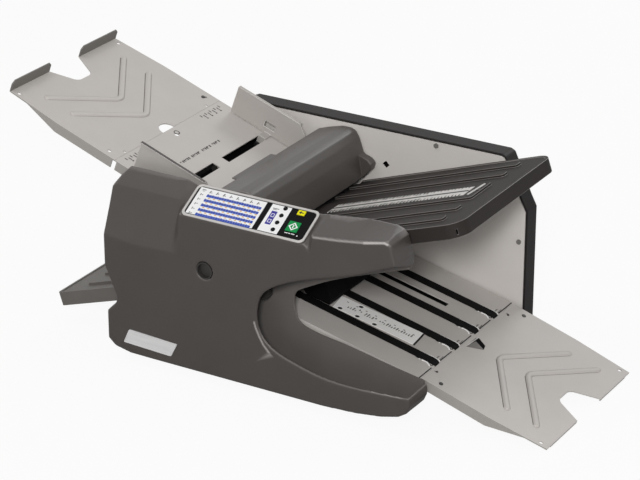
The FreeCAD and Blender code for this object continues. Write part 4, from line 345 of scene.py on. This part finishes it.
def skin_over(node, mesh, voxel, passes, keep, ease, material=None, lines=()):
    """A mesh drawn again as one moulded skin whose edges are rounded, standing for a node."""
    rough = bpy.data.objects.new(f"{node}_rough", mesh)
    bpy.context.scene.collection.objects.link(rough)
    skin = rough.modifiers.new("skin", "REMESH")
    skin.mode, skin.voxel_size = "VOXEL", voxel * MM
    fine = bpy.data.meshes.new_from_object(rough.evaluated_get(bpy.context.evaluated_depsgraph_get()))
    rough.modifiers.clear()
    soften(fine, passes, ease, lines)
    rough.data = fine
    thin = rough.modifiers.new("thin", "DECIMATE")
    thin.ratio = keep
    formed = bpy.data.meshes.new_from_object(rough.evaluated_get(bpy.context.evaluated_depsgraph_get()))
    bpy.data.objects.remove(rough)
    formed.name = f"{node}_form"
    shade(formed, 50)
    slot = SLOT_OF[node]
    return settle(f"{node}_form", formed, BODY_OF[node], material or M[slot], (node,))


def mould(node, voxel, passes, keep, ease, lines=()):
    bm = welded(node)
    mesh = bpy.data.meshes.new(f"{node}_rough")
    bm.to_mesh(mesh)
    bm.free()
    return skin_over(node, mesh, voxel, passes, keep, ease, lines=lines)


def rounded(long, wide, corner, centre=(0.0, 0.0), steps=5):
    """Points of a rounded rectangle from its half sides."""
    points = []
    for quarter, (a, b) in enumerate(((1, 1), (-1, 1), (-1, -1), (1, -1))):
        for step in range(steps + 1):
            turn = math.pi / 2 * (quarter + step / steps)
            points.append((
                centre[0] + a * (long - corner) + corner * math.cos(turn),
                centre[1] + b * (wide - corner) + corner * math.sin(turn),
            ))
    return points


def ring(radius, centre, steps=20):
    return [
        (centre[0] + radius * math.cos(2 * math.pi * k / steps), centre[1] + radius * math.sin(2 * math.pi * k / steps))
        for k in range(steps)
    ]


def add_plate(bm, slope, loops, low, high, edge=0.0):
    """A thin plate with holes: filled top, side walls and, where asked, a chamfered top edge."""
    flat = [[Vector((u, v, 0)) for u, v in loop] for loop in loops]
    faces = tessellate_polygon(flat)
    tops, base = [], []
    for number, loop in enumerate(loops):
        inset = edge if number == 0 else -edge
        for (u, v), (a, b) in zip(loop, shrink(loop, inset) if edge else loop):
            tops.append(bm.verts.new(slope.point(a, b, high)))
            base.append(bm.verts.new(slope.point(u, v, low)))
    for face in faces:
        bm.faces.new([tops[index] for index in face])
    start = 0
    for loop in loops:
        count = len(loop)
        for index in range(count):
            a, b = start + index, start + (index + 1) % count
            bm.faces.new((base[a], base[b], tops[b], tops[a]))
        start += count


def shrink(loop, inset):
    """The loop drawn in by an inset."""
    area = sum(a[0] * b[1] - b[0] * a[1] for a, b in zip(loop, loop[1:] + loop[:1]))
    side = 1 if area > 0 else -1
    moved = []
    for index, (u, v) in enumerate(loop):
        a, b = Vector(loop[index - 1]), Vector(loop[(index + 1) % len(loop)])
        along = (b - a).normalized()
        moved.append((u - side * along.y * inset, v + side * along.x * inset))
    return moved


def plates(name, slope, shapes, low, high, material, body="frame", edge=0.0, replaced=()):
    """One piece made of thin plates that lie on a slope."""
    bm = bmesh.new()
    for loops in shapes:
        add_plate(bm, slope, loops, low, high, edge)
    bmesh.ops.recalc_face_normals(bm, faces=bm.faces)
    mesh = bpy.data.meshes.new(name)
    bm.to_mesh(mesh)
    bm.free()
    shade(mesh, 30)
    return settle(name, mesh, body, material, replaced)


def bar(u0, u1, v0, v1):
    return [[(u0, v0), (u1, v0), (u1, v1), (u0, v1)]]


def ribbon(points, wide):
    """The outline of a narrow band along a line of points."""
    left, right = [], []
    for index, spot in enumerate(points):
        a, b = Vector(points[max(index - 1, 0)]), Vector(points[min(index + 1, len(points) - 1)])
        along = (b - a).normalized()
        left.append((spot[0] - along.y * wide / 2, spot[1] + along.x * wide / 2))
        right.append((spot[0] + along.y * wide / 2, spot[1] - along.x * wide / 2))
    return [left + right[::-1]]


def bead_path(tip, toward, reach, spread, turn=9.0, steps=6):
    """The middle line of a V whose point is rounded off."""
    arm = Vector((toward * reach, spread)).normalized()
    cut = turn
    points = [Vector((tip + arm.x * math.hypot(reach, spread), -spread * 1.0))]
    first, last = Vector((tip + arm.x * cut, -arm.y * cut)), Vector((tip + arm.x * cut, arm.y * cut))
    corner = Vector((tip, 0.0))
    for step in range(steps + 1):
        t = step / steps
        points.append(first * (1 - t) ** 2 + corner * 2 * t * (1 - t) + last * t ** 2)
    points.append(Vector((tip + arm.x * math.hypot(reach, spread), spread)))
    return points


def add_bead(bm, slope, path, wide, high, low=-0.2, cuts=7, ends=5):
    """A raised rounded bead along a line on a slope, with round ends."""
    half = wide / 2
    fine = []
    for index in range(len(path) - 1):
        fine.append((path[index], 1.0))
    fine.append((path[-1], 1.0))
    first = (path[0] - path[1]).normalized()
    last = (path[-1] - path[-2]).normalized()
    head = [
        (path[0] + first * half * math.sin(math.pi / 2 * k / ends), math.cos(math.pi / 2 * k / ends))
        for k in range(ends, 0, -1)
    ]
    tail = [
        (path[-1] + last * half * math.sin(math.pi / 2 * k / ends), math.cos(math.pi / 2 * k / ends))
        for k in range(1, ends + 1)
    ]
    rows = []
    line = head + fine + tail
    for index, (spot, share) in enumerate(line):
        a, b = line[max(index - 1, 0)][0], line[min(index + 1, len(line) - 1)][0]
        along = (b - a).normalized()
        side = Vector((-along.y, along.x))
        share = max(share, 0.02)
        row = []
        for cut in range(cuts):
            turn = math.pi * cut / (cuts - 1)
            off = -math.cos(turn) * half * share
            rise = low + (high - low) * math.sin(turn) ** 0.6 * share ** 0.5
            place = spot + side * off
            row.append(bm.verts.new(slope.point(place.x, place.y, rise)))
        rows.append(row)
    for near, far in zip(rows, rows[1:]):
        for cut in range(cuts - 1):
            bm.faces.new((near[cut], near[cut + 1], far[cut + 1], far[cut]))


def beads(name, slope, paths, wide, high, material):
    bm = bmesh.new()
    for path in paths:
        add_bead(bm, slope, path, wide, high)
    bmesh.ops.recalc_face_normals(bm, faces=bm.faces)
    mesh = bpy.data.meshes.new(name)
    bm.to_mesh(mesh)
    bm.free()
    shade(mesh, 60)
    return settle(name, mesh, "frame", material)


RIB_WIDE, RIB_HIGH, RIB_REACH, RIB_SPREAD = 8.0, 2.4, 57.0, 84.0
DECK_SCALE_START = 63.3
RULER_WIDE = 14.6
DECK_HOLES = ((89.8, -41.3), (72.7, -64.3), (97.2, -63.5), (121.6, -62.7))
FLOOR_WHITE = 0.93
# Limits and share of the painted highlight on the upward-facing bends of the moulded skins
BEND_LOW, BEND_HIGH = 0.036, 0.075
COVER_SOFT = 24.0
BEND_SHARE = 0.22
# Painted highlight lines of the near cover: strength, half width and the points they follow
HIGHLIGHT_LINES = (
    (0.55, 1.1, ((88.2, 1.0, 218.5), (122.0, 1.0, 221.9), (156.3, 1.0, 226.8))),
    (1.0, 1.2, ((156.3, 1.0, 226.8), (183.2, 1.0, 232.9), (187.6, 1.0, 231.7))),
    (0.7, 0.9, ((5.9, 0.0, 89.0), (8.1, 0.0, 81.6), (12.8, 0.0, 71.4), (18.8, 0.0, 61.5), (28.2, 0.0, 51.8))),
    (0.6, 0.9, ((168.8, 1.6, 37.6), (190.7, 1.2, 38.9), (207.6, 0.0, 40.0), (212.9, 0.0, 40.7))),
    (0.55, 0.7, tuple(
        (-64.6 + 11.6 * math.cos(math.radians(t)), 0.0, 139.9 + 11.6 * math.sin(math.radians(t)))
        for t in range(-125, 26, 15)
    )),
)
BELTS = (-76.5, -25.5, 25.5, 76.5)


def flatten(bm, slope, low, high):
    """Presses what stands between two heights flat onto the sheet."""
    for vert in bm.verts:
        rise = slope.local(vert.co)[2]
        if low < rise < high:
            vert.co -= slope.n * rise * MM


def widen_belts(bm, extra):
    """Draws the belts' edges outwards to their seen width."""
    for vert in bm.verts:
        v = DECK.local(vert.co)[1]
        centre = min(BELTS, key=lambda b: abs(v - b))
        vert.co.y += math.copysign(extra, v - centre) * MM


def shade_skirts(piece, slope):
    """Paints shade on the folded sides of a sheet with a darker grey."""
    piece.data.materials.append(SKIRT)
    for face in piece.data.polygons:
        if abs(face.normal.y) > 0.8 and slope.local(face.center)[2] < -1.0:
            face.material_index = len(piece.data.materials) - 1


def hood_ears(extra):
    """The hood as one moulded skin, with its ears thickened inwards."""
    bm = welded("hood")
    near = min(v.co.y for v in bm.verts)
    far = max(v.co.y for v in bm.verts)
    for vert in bm.verts:
        if near + 4.0 * MM < vert.co.y < near + 8.0 * MM:
            vert.co.y += extra * MM
        elif far - 8.0 * MM < vert.co.y < far - 4.0 * MM:
            vert.co.y -= extra * MM
    mesh = bpy.data.meshes.new("hood_thick")
    bm.to_mesh(mesh)
    bm.free()
    return skin_over("hood", mesh, 1.0, 9, 0.3, lambda spots: np.ones(len(spots)), HOOD)


def ear_cap():
    """Closes the far ear's inner side with a flush face."""
    inner = Slope((0.0, 283.2, 0.0), 90.0, across=True)
    outline = [(-20, 221), (-17, 206), (-13.5, 190), (-10.8, 175), (-7.8, 172.6), (-3.2, 177.4), (3.7, 185.3),
               (4.6, 192.8), (-0.3, 198), (-12, 202.5), (-14.5, 207.5)]
    plates("hood_ear_face", inner, [[outline]], 0.0, 1.0, HOOD, BODY_OF["hood"], edge=0.5)


def move_diamond(bm):
    """Sets the far plate's diamond hole to its seen place and size."""
    for vert in bm.verts:
        x, _, z = (vert.co - SHIFT) / MM
        if abs(x - 17.5) < 5.5 and abs(z - 194.0) < 5.5:
            vert.co.x += (1.2 + (x - 17.5) * 0.15) * MM
            vert.co.z += (-2.8 + (z - 194.0) * 0.15) * MM


def rib_lines(name, slope, toward, tips):
    """Painted shade lines on both sides of the pressed ribs, darker on one side near their point."""
    soft, strong = [], []
    for tip in tips:
        path = [tuple(spot) for spot in bead_path(toward * tip, toward, RIB_REACH, RIB_SPREAD)]
        for side in (-1, 1):
            shifted = []
            for index, spot in enumerate(path):
                a, b = Vector(path[max(index - 1, 0)]), Vector(path[min(index + 1, len(path) - 1)])
                along = (b - a).normalized()
                shifted.append((spot[0] - along.y * side * (RIB_WIDE / 2 + 0.1), spot[1] + along.x * side * (RIB_WIDE / 2 + 0.1)))
            soft.append(ribbon(shifted, 0.8))
            if side == 1:
                near = shifted[:3] if toward > 0 else shifted[-3:]
                strong.append(ribbon(near, 1.2))
    plates(f"{name}_shade_lines", slope, soft, 0.0, 0.05, RIB_SHADE)
    plates(f"{name}_deep_shade_lines", slope, strong, 0.05, 0.09, DEEP_RIB_SHADE)


# Carried-over nodes
for name, node in NODES.items():
    node.data.materials.clear()
    node.data.materials.append(M[SLOT_OF[name]])
    shade(node.data, 28)
NODES["near_side_plate"].data.materials[0] = INNER
NODES["case_screws"].data.materials[0] = FLANGE

# Covers and hood
mould(
    "near_cover", 1.15, 10, 0.22,
    lambda spots: np.clip((COVER_SOFT - (spots[:, 1] - SHIFT.y) / MM) / 10.0, 0, 1), HIGHLIGHT_LINES,
)
hood_ears(8.0)
ear_cap()
dress("far_cover", 1.4, 3, flat=0.0, material=SHADED_FAR_COVER)
dress("upper_fold_plate", 1.1, 3, flat=0.2)
dress("lower_fold_plate", 1.1, 3, flat=0.2, material=LOWER_PLATE)
dress("exit_guard", 0.5, 2, flat=0.2)

# Trays and guides
for name, slope, toward, tips in (
    ("feed_extension", FEED, -1, (36.0, 77.5)), ("stacker_tray", STACK, 1, (42.0, 83.5)),
):
    tray = dress(name, 0.45, 2, change=lambda bm, slope=slope: flatten(bm, slope, 1.0, 1.4))
    # Painted shade on the upturned flanges
    tray.data.materials.append(FLANGE)
    for face in tray.data.polygons:
        if slope.local(face.center)[2] > 1.0:
            face.material_index = 2
    shade_skirts(tray, slope)
    beads(
        f"{name}_ribs", slope,
        [bead_path(toward * tip, toward, RIB_REACH, RIB_SPREAD) for tip in tips],
        RIB_WIDE, RIB_HIGH, M["tray_metal"],
    )
    rib_lines(name, slope, toward, tips)
shade_skirts(dress("feed_table", 0.35, 2), FEED)
dress("far_guide", 0.35, 2)
guide = dress("near_guide", 0.2, 2)
# Painted shade on the near guide's upper faces turned towards +x and up
guide.data.materials.append(GUIDE_EDGE_SHADE)
for face in guide.data.polygons:
    if face.normal.x > 0.3 and face.normal.z > 0.3 and FEED.local(face.center)[2] > 5.0:
        face.material_index = 2
dress("exit_deck", 0.4, 2)
dress("exit_belts", 0.2, 1, change=lambda bm: widen_belts(bm, 1.5))
dress("far_side_plate", 0.2, 2, material=LIT_FAR_PLATE, change=move_diamond)
dress("panel_bezel", 0.8, 3, flat=0.2)
dress("panel_face", 0.15, 1, flat=0.2)
dress("rubber_feet", 0.8, 2, flat=0.2)


# Printed marks and small fittings
def panel_prints():
    """The chart, its rows and the display: neutral marks with no lettering."""
    top, film = 1.2, 0.06
    strip = bar(21.0, 48.2, -20.8, 20.8)
    strip += [ring(2.95, (40.2, v))[::-1] for v in (18.05, 6.95, -4.15, -15.25)]
    paper = [bar(-80.5, 13.5, -20.8, 20.8), strip]
    plates("panel_paper", PANEL, paper, top, top + film, PAPER)
    blue, sand, dark = [], [], []
    for row in range(5):
        v = 10.0 - 7.4 * row
        for cell in range(22):
            u = -67.0 + 3.52 * cell
            blue.append(bar(u, u + 3.3, v - 1.9, v + 1.9))
            if cell % 2:
                sand.append(bar(u, u + 2.8, v - 3.9, v - 2.3))
            else:
                dark.append(bar(u + 0.6, u + 1.4, v + 1.9, v + 2.6))
        dark.append(bar(-76.0, -75.0, v - 1.4, v + 1.6))
        dark.append(bar(-73.8, -72.2, v - 0.6 + 0.4 * (row % 3), v + 0.3 + 0.4 * (row % 3)))
    for column in range(8):
        u = -66.0 + 9.6 * column
        dark.append([[(u, 14.4), (u + 1.3, 14.4), (u + 2.0 + 0.3 * (column % 3), 18.2), (u + 1.0, 18.2)]])
        dark.append(bar(u + 2.4, u + 3.8, 15.0 + 0.4 * (column % 2), 15.9 + 0.4 * (column % 2)))
    dark.append(bar(-77.0, -71.5, 17.2, 18.1))
    dark.append(bar(-76.0, -73.0, 15.2, 15.9))
    dark.append(bar(24.5, 33.0, 14.4, 15.3))
    dark.append(bar(25.5, 30.5, 12.9, 13.5))
    layer = top + film
    plates("panel_rows", PANEL, blue, layer, layer + film, BLUE)
    plates("panel_row_tints", PANEL, sand, layer, layer + film, SAND)
    plates("panel_marks", PANEL, dark, layer, layer + film, INK)
    plates("panel_display", PANEL, [[rounded(3.9, 10.3, 0.8, (29.2, 0.6))]], layer, layer + film, INDIGO)
    digits = []
    for v in (-4.2, 4.6):
        digits += [
            [[(27.0, v - 2.6), (31.6, v - 2.6), (31.6, v - 1.9), (27.0, v - 1.9)]],
            [[(27.0, v + 1.9), (31.6, v + 1.9), (31.6, v + 2.6), (27.0, v + 2.6)]],
            [[(27.0, v - 1.7), (27.8, v - 1.7), (27.8, v + 1.7), (27.0, v + 1.7)]],
            [[(30.8, v - 1.7), (31.6, v - 1.7), (31.6, v + 1.7), (30.8, v + 1.7)]],
        ]
    plates("panel_digits", PANEL, digits, layer + film, layer + 2 * film, PAPER)
    small = [bar(56.0, 60.5, -15.6, -14.5), bar(61.5, 64.0, -15.6, -14.5), bar(65.0, 70.0, -15.6, -14.5)]
    small.append([ring(0.9, (73.9, -16.2), 12)])
    plates("panel_dots", PANEL, small, top, top + film, PAPER)


def key_symbols():
    """An arrow on the jog key and a diamond on the start key."""
    top, film = 2.0, 0.06
    arrow = [[(59.6, 17.0), (62.6, 14.6), (62.6, 16.3), (66.4, 16.3), (66.4, 17.7), (62.6, 17.7), (62.6, 19.4)]]
    plates("jog_symbol", PANEL, [arrow], top, top + film, INK, BODY_OF["jog_key"])
    outer = [(63.0, -11.0), (69.4, -4.9), (63.0, 1.2), (56.6, -4.9)]
    inner = [(63.0, -9.0), (58.7, -4.9), (63.0, -0.8), (67.3, -4.9)]
    stem = bar(62.3, 63.7, -7.4, -2.4)
    plates("start_symbol", PANEL, [[outer, inner], stem], top, top + film, PAPER, BODY_OF["start_key"])


def scales():
    """The two rulers with their ticks and end band, and the deck's perforated scale."""
    low, high, film = 2.0, 2.7, 0.06
    rulers = [bar(14.0, 213.0, 1.6, RULER_WIDE), bar(14.0, 213.0, -RULER_WIDE, -1.6)]
    plates("rulers", UPPER, rulers, low, high, M["scale_film"], edge=0.25, replaced=("scale_strips",))
    ticks = [bar(16.0, 211.0, -2.2, 2.2)]
    for side in (-1, 1):
        for step in range(39):
            u = 16.0 + 5.0 * step
            long = (7.0, 5.0, 6.2, 4.6, 6.6)[(step + side) % 5] if step < 27 else (4.4, 2.6)[step % 2]
            wide = (2.6, 2.1, 2.9)[(step + side) % 3] if step < 27 else 1.4
            a, b = side * (RULER_WIDE + 0.2), side * (RULER_WIDE - long)
            ticks.append(bar(u, u + wide, min(a, b), max(a, b)))
    plates("ruler_ticks", UPPER, ticks, low, high + film, INK)
    band = [[(217.5, -14.5), (220.5, -16.5), (225.0, 21.0), (222.0, 23.0)]]
    plates("ruler_end_band", UPPER, [band], low, high, M["scale_film"], edge=0.2)
    lines = [[[(213.6, -16.5), (216.2, -17.5), (219.0, 4.0), (216.4, 4.6)]],
             [[(216.4, 6.6), (219.0, 6.0), (221.6, 22.5), (219.0, 23.4)]]]
    plates("ruler_end_lines", UPPER, lines, low, low + 0.1, INK)
    outline = [(59.7, -38.5), (64.8, -68.9), (177.9, -65.0), (174.6, -32.7)]
    holes = [ring(2.9, spot)[::-1] for spot in DECK_HOLES]
    plates("deck_scale", DECK, [[outline, *holes]], 0.7, 1.15, DECK_WHITE, edge=0.15)
    # Painted shade in the scale plate's holes and along its right edge
    dark = [[ring(3.3, spot)] for spot in DECK_HOLES]
    dark.append([[(174.6, -32.7), (177.9, -65.0), (180.3, -64.8), (177.0, -32.5)]])
    plates("deck_scale_hole_shade", DECK, dark, 0.6, 0.72, INK)
    marks = []
    for step in range(30):
        u = DECK_SCALE_START + 5.0 + 3.4 * step
        if min(math.hypot(u + 1 - a, -58.0 - b) for a, b in DECK_HOLES) > 8.0:
            marks.append(bar(u, u + 1.0 + 0.5 * (step % 2), -61.0 + 0.05 * u, -57.5 + 0.05 * u + 1.2 * (step % 3)))
        if step % 3 and step > 4:
            marks.append(bar(u, u + 1.7, -53.0 + 0.6 * (step % 4), -50.8 + 0.9 * (step % 4)))
        if step % 4 == 1:
            marks.append(bar(u, u + 2.4, -46.0, -44.6))
    plates("deck_scale_marks", DECK, marks, 1.15, 1.21, GREY_INK)


def deck_end():
    """The belts' cut-outs at the deck's rolled end: painted highlights on the bright turned rims, painted shade in the
    dark gaps, beside the belts and along the end, and lighter painted highlight strips at the end.
    """
    rims, gaps, shades, strips = [], [], [], []
    for b in BELTS:
        rims.append(ribbon([(202, b - 8.2), (206, b - 7.4), (210, b - 8.2), (213.5, b - 10.4), (215.2, b - 12.8)], 2.2))
        rims.append(ribbon([(190, b + 7.6), (205, b + 7.8), (214, b + 8.0), (219, b + 8.0)], 1.0))
        rims.append([ring(0.9, (198.6, b - 8.6), 10)])
        gaps.append([[(203, b - 6.4), (210, b - 6.4), (216, b - 6.6), (218, b - 8.0), (215.4, b - 11.4), (212, b - 8.4), (207, b - 6.9)]])
        gaps.append([[(192.5, b - 7.2), (197.0, b - 7.2), (198.4, b - 8.0), (196.0, b - 8.6), (193.0, b - 8.0)]])
        shades.append([[(213, b + 8.6), (218, b + 8.4), (217.4, b + 20), (212, b + 14.5)]])
    for a, b in zip((-122.0, *[b + 9.0 for b in BELTS]), (*[b - 13.0 for b in BELTS], 122.0)):
        if b - a > 6:
            gaps.append(bar(217.9, 219.3, a, b))
            for start in (219.4, 220.6, 221.8):
                strips.append(bar(start, start + 1.25, a, b))
    gaps.append(bar(223.5, 224.3, -122.0, 122.0))
    gaps.append(bar(224.3, 225.0, -122.0, 122.0))
    plates("deck_rim_highlights", DECK_END, rims, 0.0, 0.5, HIGHLIGHT_METAL, edge=0.2)
    plates("deck_gap_shade", DECK_END, gaps, 0.0, 0.25, INK)
    plates("deck_shades", DECK_END, shades, 0.0, 0.2, FLANGE)
    plates("deck_end_highlight_strips", DECK_END, strips, 0.0, 0.15, BEVEL_HIGHLIGHT["metal"])


def badge():
    """The bare badge: a slanted plate with a raised rim."""
    corners = [Vector(spot) for spot in ((-186.6, 14.4), (-115.5, 11.8), (-105.9, 30.9), (-177.8, 34.0))]
    outer = []
    for index, spot in enumerate(corners):
        before, after = corners[index - 1], corners[(index + 1) % 4]
        first, second = spot + (before - spot).normalized() * 2.4, spot + (after - spot).normalized() * 2.4
        outer += [tuple(first), tuple(spot * 0.6 + (first + second) * 0.2), tuple(second)]
    inner = shrink(outer, 1.5)
    plates("badge_rim", FRONT, [[outer, inner[::-1]]], -1.6, 1.1, M["badge_silver"], edge=0.3, replaced=("badge_plate",))
    plates("badge_face", FRONT, [[shrink(outer, 1.2)]], -1.4, 0.7, M["badge_silver"])


def trough():
    """The black cover under the table's slots, folded from one sheet."""
    bm = bmesh.new()
    wall = 0.9
    section = [(69.0, -1.6), (69.0, -15.0), (70.0, -16.0), (97.0, -16.0), (98.0, -15.0), (98.0, -1.6),
               (98.0 - wall, -1.6), (98.0 - wall, -14.6), (96.6, -16.0 + wall), (70.4, -16.0 + wall), (69.0 + wall, -14.6), (69.0 + wall, -1.6)]
    ends = [[bm.verts.new(FEED.point(u, v, n)) for u, n in section] for v in (-118.0, 118.0)]
    count = len(section)
    for k in range(count):
        bm.faces.new((ends[0][k], ends[0][(k + 1) % count], ends[1][(k + 1) % count], ends[1][k]))
    flat = tessellate_polygon([[Vector((u, n, 0)) for u, n in section]])
    for verts in ends:
        for face in flat:
            bm.faces.new([verts[k] for k in face])
    bmesh.ops.recalc_face_normals(bm, faces=bm.faces)
    mesh = bpy.data.meshes.new("rack_cover")
    bm.to_mesh(mesh)
    bm.free()
    shade(mesh, 30)
    settle("rack_cover", mesh, "frame", M["guard_black"])


def tray_window():
    """The stacker's three-sided window as a flat black film of painted shade, its folded tab in painted shade with a
    painted highlight along one edge.
    """
    left, top, right, low, tab = (2.6, -15.4), (4.1, 14.9), (18.6, 6.5), (21.2, -2.8), (5.9, 4.5)
    plates("stacker_window", STACK, [[[left, top, right, low]]], 0.0, 0.12, M["guard_black"])
    plates("stacker_tab", STACK, [[[left, tab, low]]], 0.12, 0.5, FLANGE)
    plates("stacker_tab_highlight", STACK, [ribbon([left, top], 1.0)], 0.12, 0.4, BEVEL_HIGHLIGHT["metal"])


def tray_screws():
    """Small black screw heads that hold the two trays."""
    for name, slope, spots in (
        ("stacker_screws", STACK, ((20.7, 107.5, 2.7), (5.6, 91.5, 1.6), (20.0, -110.0, 2.7), (4.5, -92.9, 1.6))),
        ("extension_screws", FEED, ((-18.2, 105.9, 2.7),)),
    ):
        heads = [[ring(radius, (u, v), 18)] for u, v, radius in spots]
        plates(name, slope, heads, 0.0, 0.9, M["black_plastic"], edge=0.4)
        slits = [bar(u - radius * 0.6, u + radius * 0.6, v - 0.25, v + 0.25) for u, v, radius in spots if radius > 2]
        plates(f"{name}_slits", slope, slits, 0.9, 0.95, GREY_INK)


def table_prints():
    """Tick rows, a small ring and two lines of neutral marks on the feed table."""
    marks = []
    for side in (-1, 1):
        for step in range(9):
            v = side * (64.0 + 5.2 * step)
            marks.append(bar(5.0 + 2.0 * (step % 2), 9.4 + 3.4 * (step % 2), v, v + 1.5))
            if step % 2:
                marks.append(bar(13.6, 15.6, v - 0.6, v + 1.9))
    for step in range(26):
        v = -48.0 + 3.4 * step - (1.2 if step % 6 == 0 else 0.0)
        if step % 7 != 6:
            marks.append(bar(51.6, 53.4 + 2.0 * ((step * 5) % 3) / 2, v, v + 2.3))
            marks.append(bar(54.8 - 0.9 * (step % 2), 55.7, v + 0.3, v + 0.9 + 0.9 * (step % 3) / 2))
    plates("table_marks", FEED, marks, 0.0, 0.06, INK)
    circle = [ring(4.2, (10.0, 4.0), 20), ring(3.0, (10.0, 4.0), 20)[::-1]]
    plates("table_ring_mark", FEED, [circle], 0.0, 0.06, INK)


panel_prints()
key_symbols()
scales()
deck_end()
badge()
trough()
tray_window()
tray_screws()
table_prints()


# Floor, light and camera
def backdrop():
    size = 6.0
    mesh = bpy.data.meshes.new("floor")
    mesh.from_pydata([(-size, -size, 0), (size, -size, 0), (size, size, 0), (-size, size, 0)], [], [(0, 1, 2, 3)])
    floor = bpy.data.objects.new("floor", mesh)
    bpy.context.scene.collection.objects.link(floor)
    mat = bpy.data.materials.new("floor_white")
    mat.use_nodes = True
    kit = Nodes(mat.node_tree)
    out, mix, path = kit.add("OutputMaterial"), kit.add("MixShader"), kit.add("LightPath")
    matt, plain = kit.add("BsdfDiffuse"), kit.add("Emission")
    matt.inputs["Color"].default_value = (0.7, 0.7, 0.7, 1)
    plain.inputs["Color"].default_value = (1, 1, 1, 1)
    share = kit.add("Math", operation="MULTIPLY")
    share.inputs[1].default_value = FLOOR_WHITE
    kit.join(path.outputs["Is Camera Ray"], share.inputs[0])
    kit.join(share.outputs[0], mix.inputs["Fac"])
    kit.join(matt.outputs[0], mix.inputs[1])
    kit.join(plain.outputs[0], mix.inputs[2])
    kit.join(mix.outputs[0], out.inputs["Surface"])
    mesh.materials.append(mat)


def world():
    """Soft even light, and plain white for what the camera, gloss and glass see."""
    studio = bpy.data.worlds.new("studio")
    bpy.context.scene.world = studio
    studio.use_nodes = True
    kit = Nodes(studio.node_tree)
    out, mix, path = kit.add("OutputWorld"), kit.add("MixShader"), kit.add("LightPath")
    soft, white = kit.add("Background"), kit.add("Background")
    soft.inputs["Strength"].default_value = 0.38
    white.inputs["Strength"].default_value = 1.0
    for shader in (soft, white):
        shader.inputs["Color"].default_value = (1, 1, 1, 1)
    first, both = kit.add("Math", operation="MAXIMUM"), kit.add("Math", operation="MAXIMUM")
    kit.join(path.outputs["Is Camera Ray"], first.inputs[0])
    kit.join(path.outputs["Is Glossy Ray"], first.inputs[1])
    kit.join(first.outputs[0], both.inputs[0])
    kit.join(path.outputs["Is Transmission Ray"], both.inputs[1])
    kit.join(both.outputs[0], mix.inputs["Fac"])
    kit.join(soft.outputs[0], mix.inputs[1])
    kit.join(white.outputs[0], mix.inputs[2])
    kit.join(mix.outputs[0], out.inputs["Surface"])


def lamp(name, place, target, size, power):
    data = bpy.data.lights.new(name, "AREA")
    data.shape, data.size, data.energy = "SQUARE", size, power
    light = bpy.data.objects.new(name, data)
    light.location = place
    light.rotation_euler = (Vector(target) - Vector(place)).to_track_quat("-Z", "Y").to_euler()
    bpy.context.scene.collection.objects.link(light)


backdrop()
world()
CENTRE = (0, 0, 0.15)
lamp("key", (1.45, -2.8, 1.85), CENTRE, 0.5, 64)
lamp("top", (-1.0, -0.9, 2.6), CENTRE, 0.9, 8)
lamp("back", (0.1, 2.5, 1.9), CENTRE, 0.9, 14)

camera = bpy.data.cameras.new("camera")
camera.lens, camera.sensor_width, camera.clip_start = 146.25, 36, 0.05
eye = bpy.data.objects.new("camera", camera)
eye.location = at(1515.2, -2376.9, 1450.0)
eye.rotation_euler = (math.radians(90 - 24.0), 0, math.radians(30.8))
bpy.context.scene.collection.objects.link(eye)
bpy.context.scene.camera = eye
bpy.context.scene.view_settings.view_transform = "Standard"
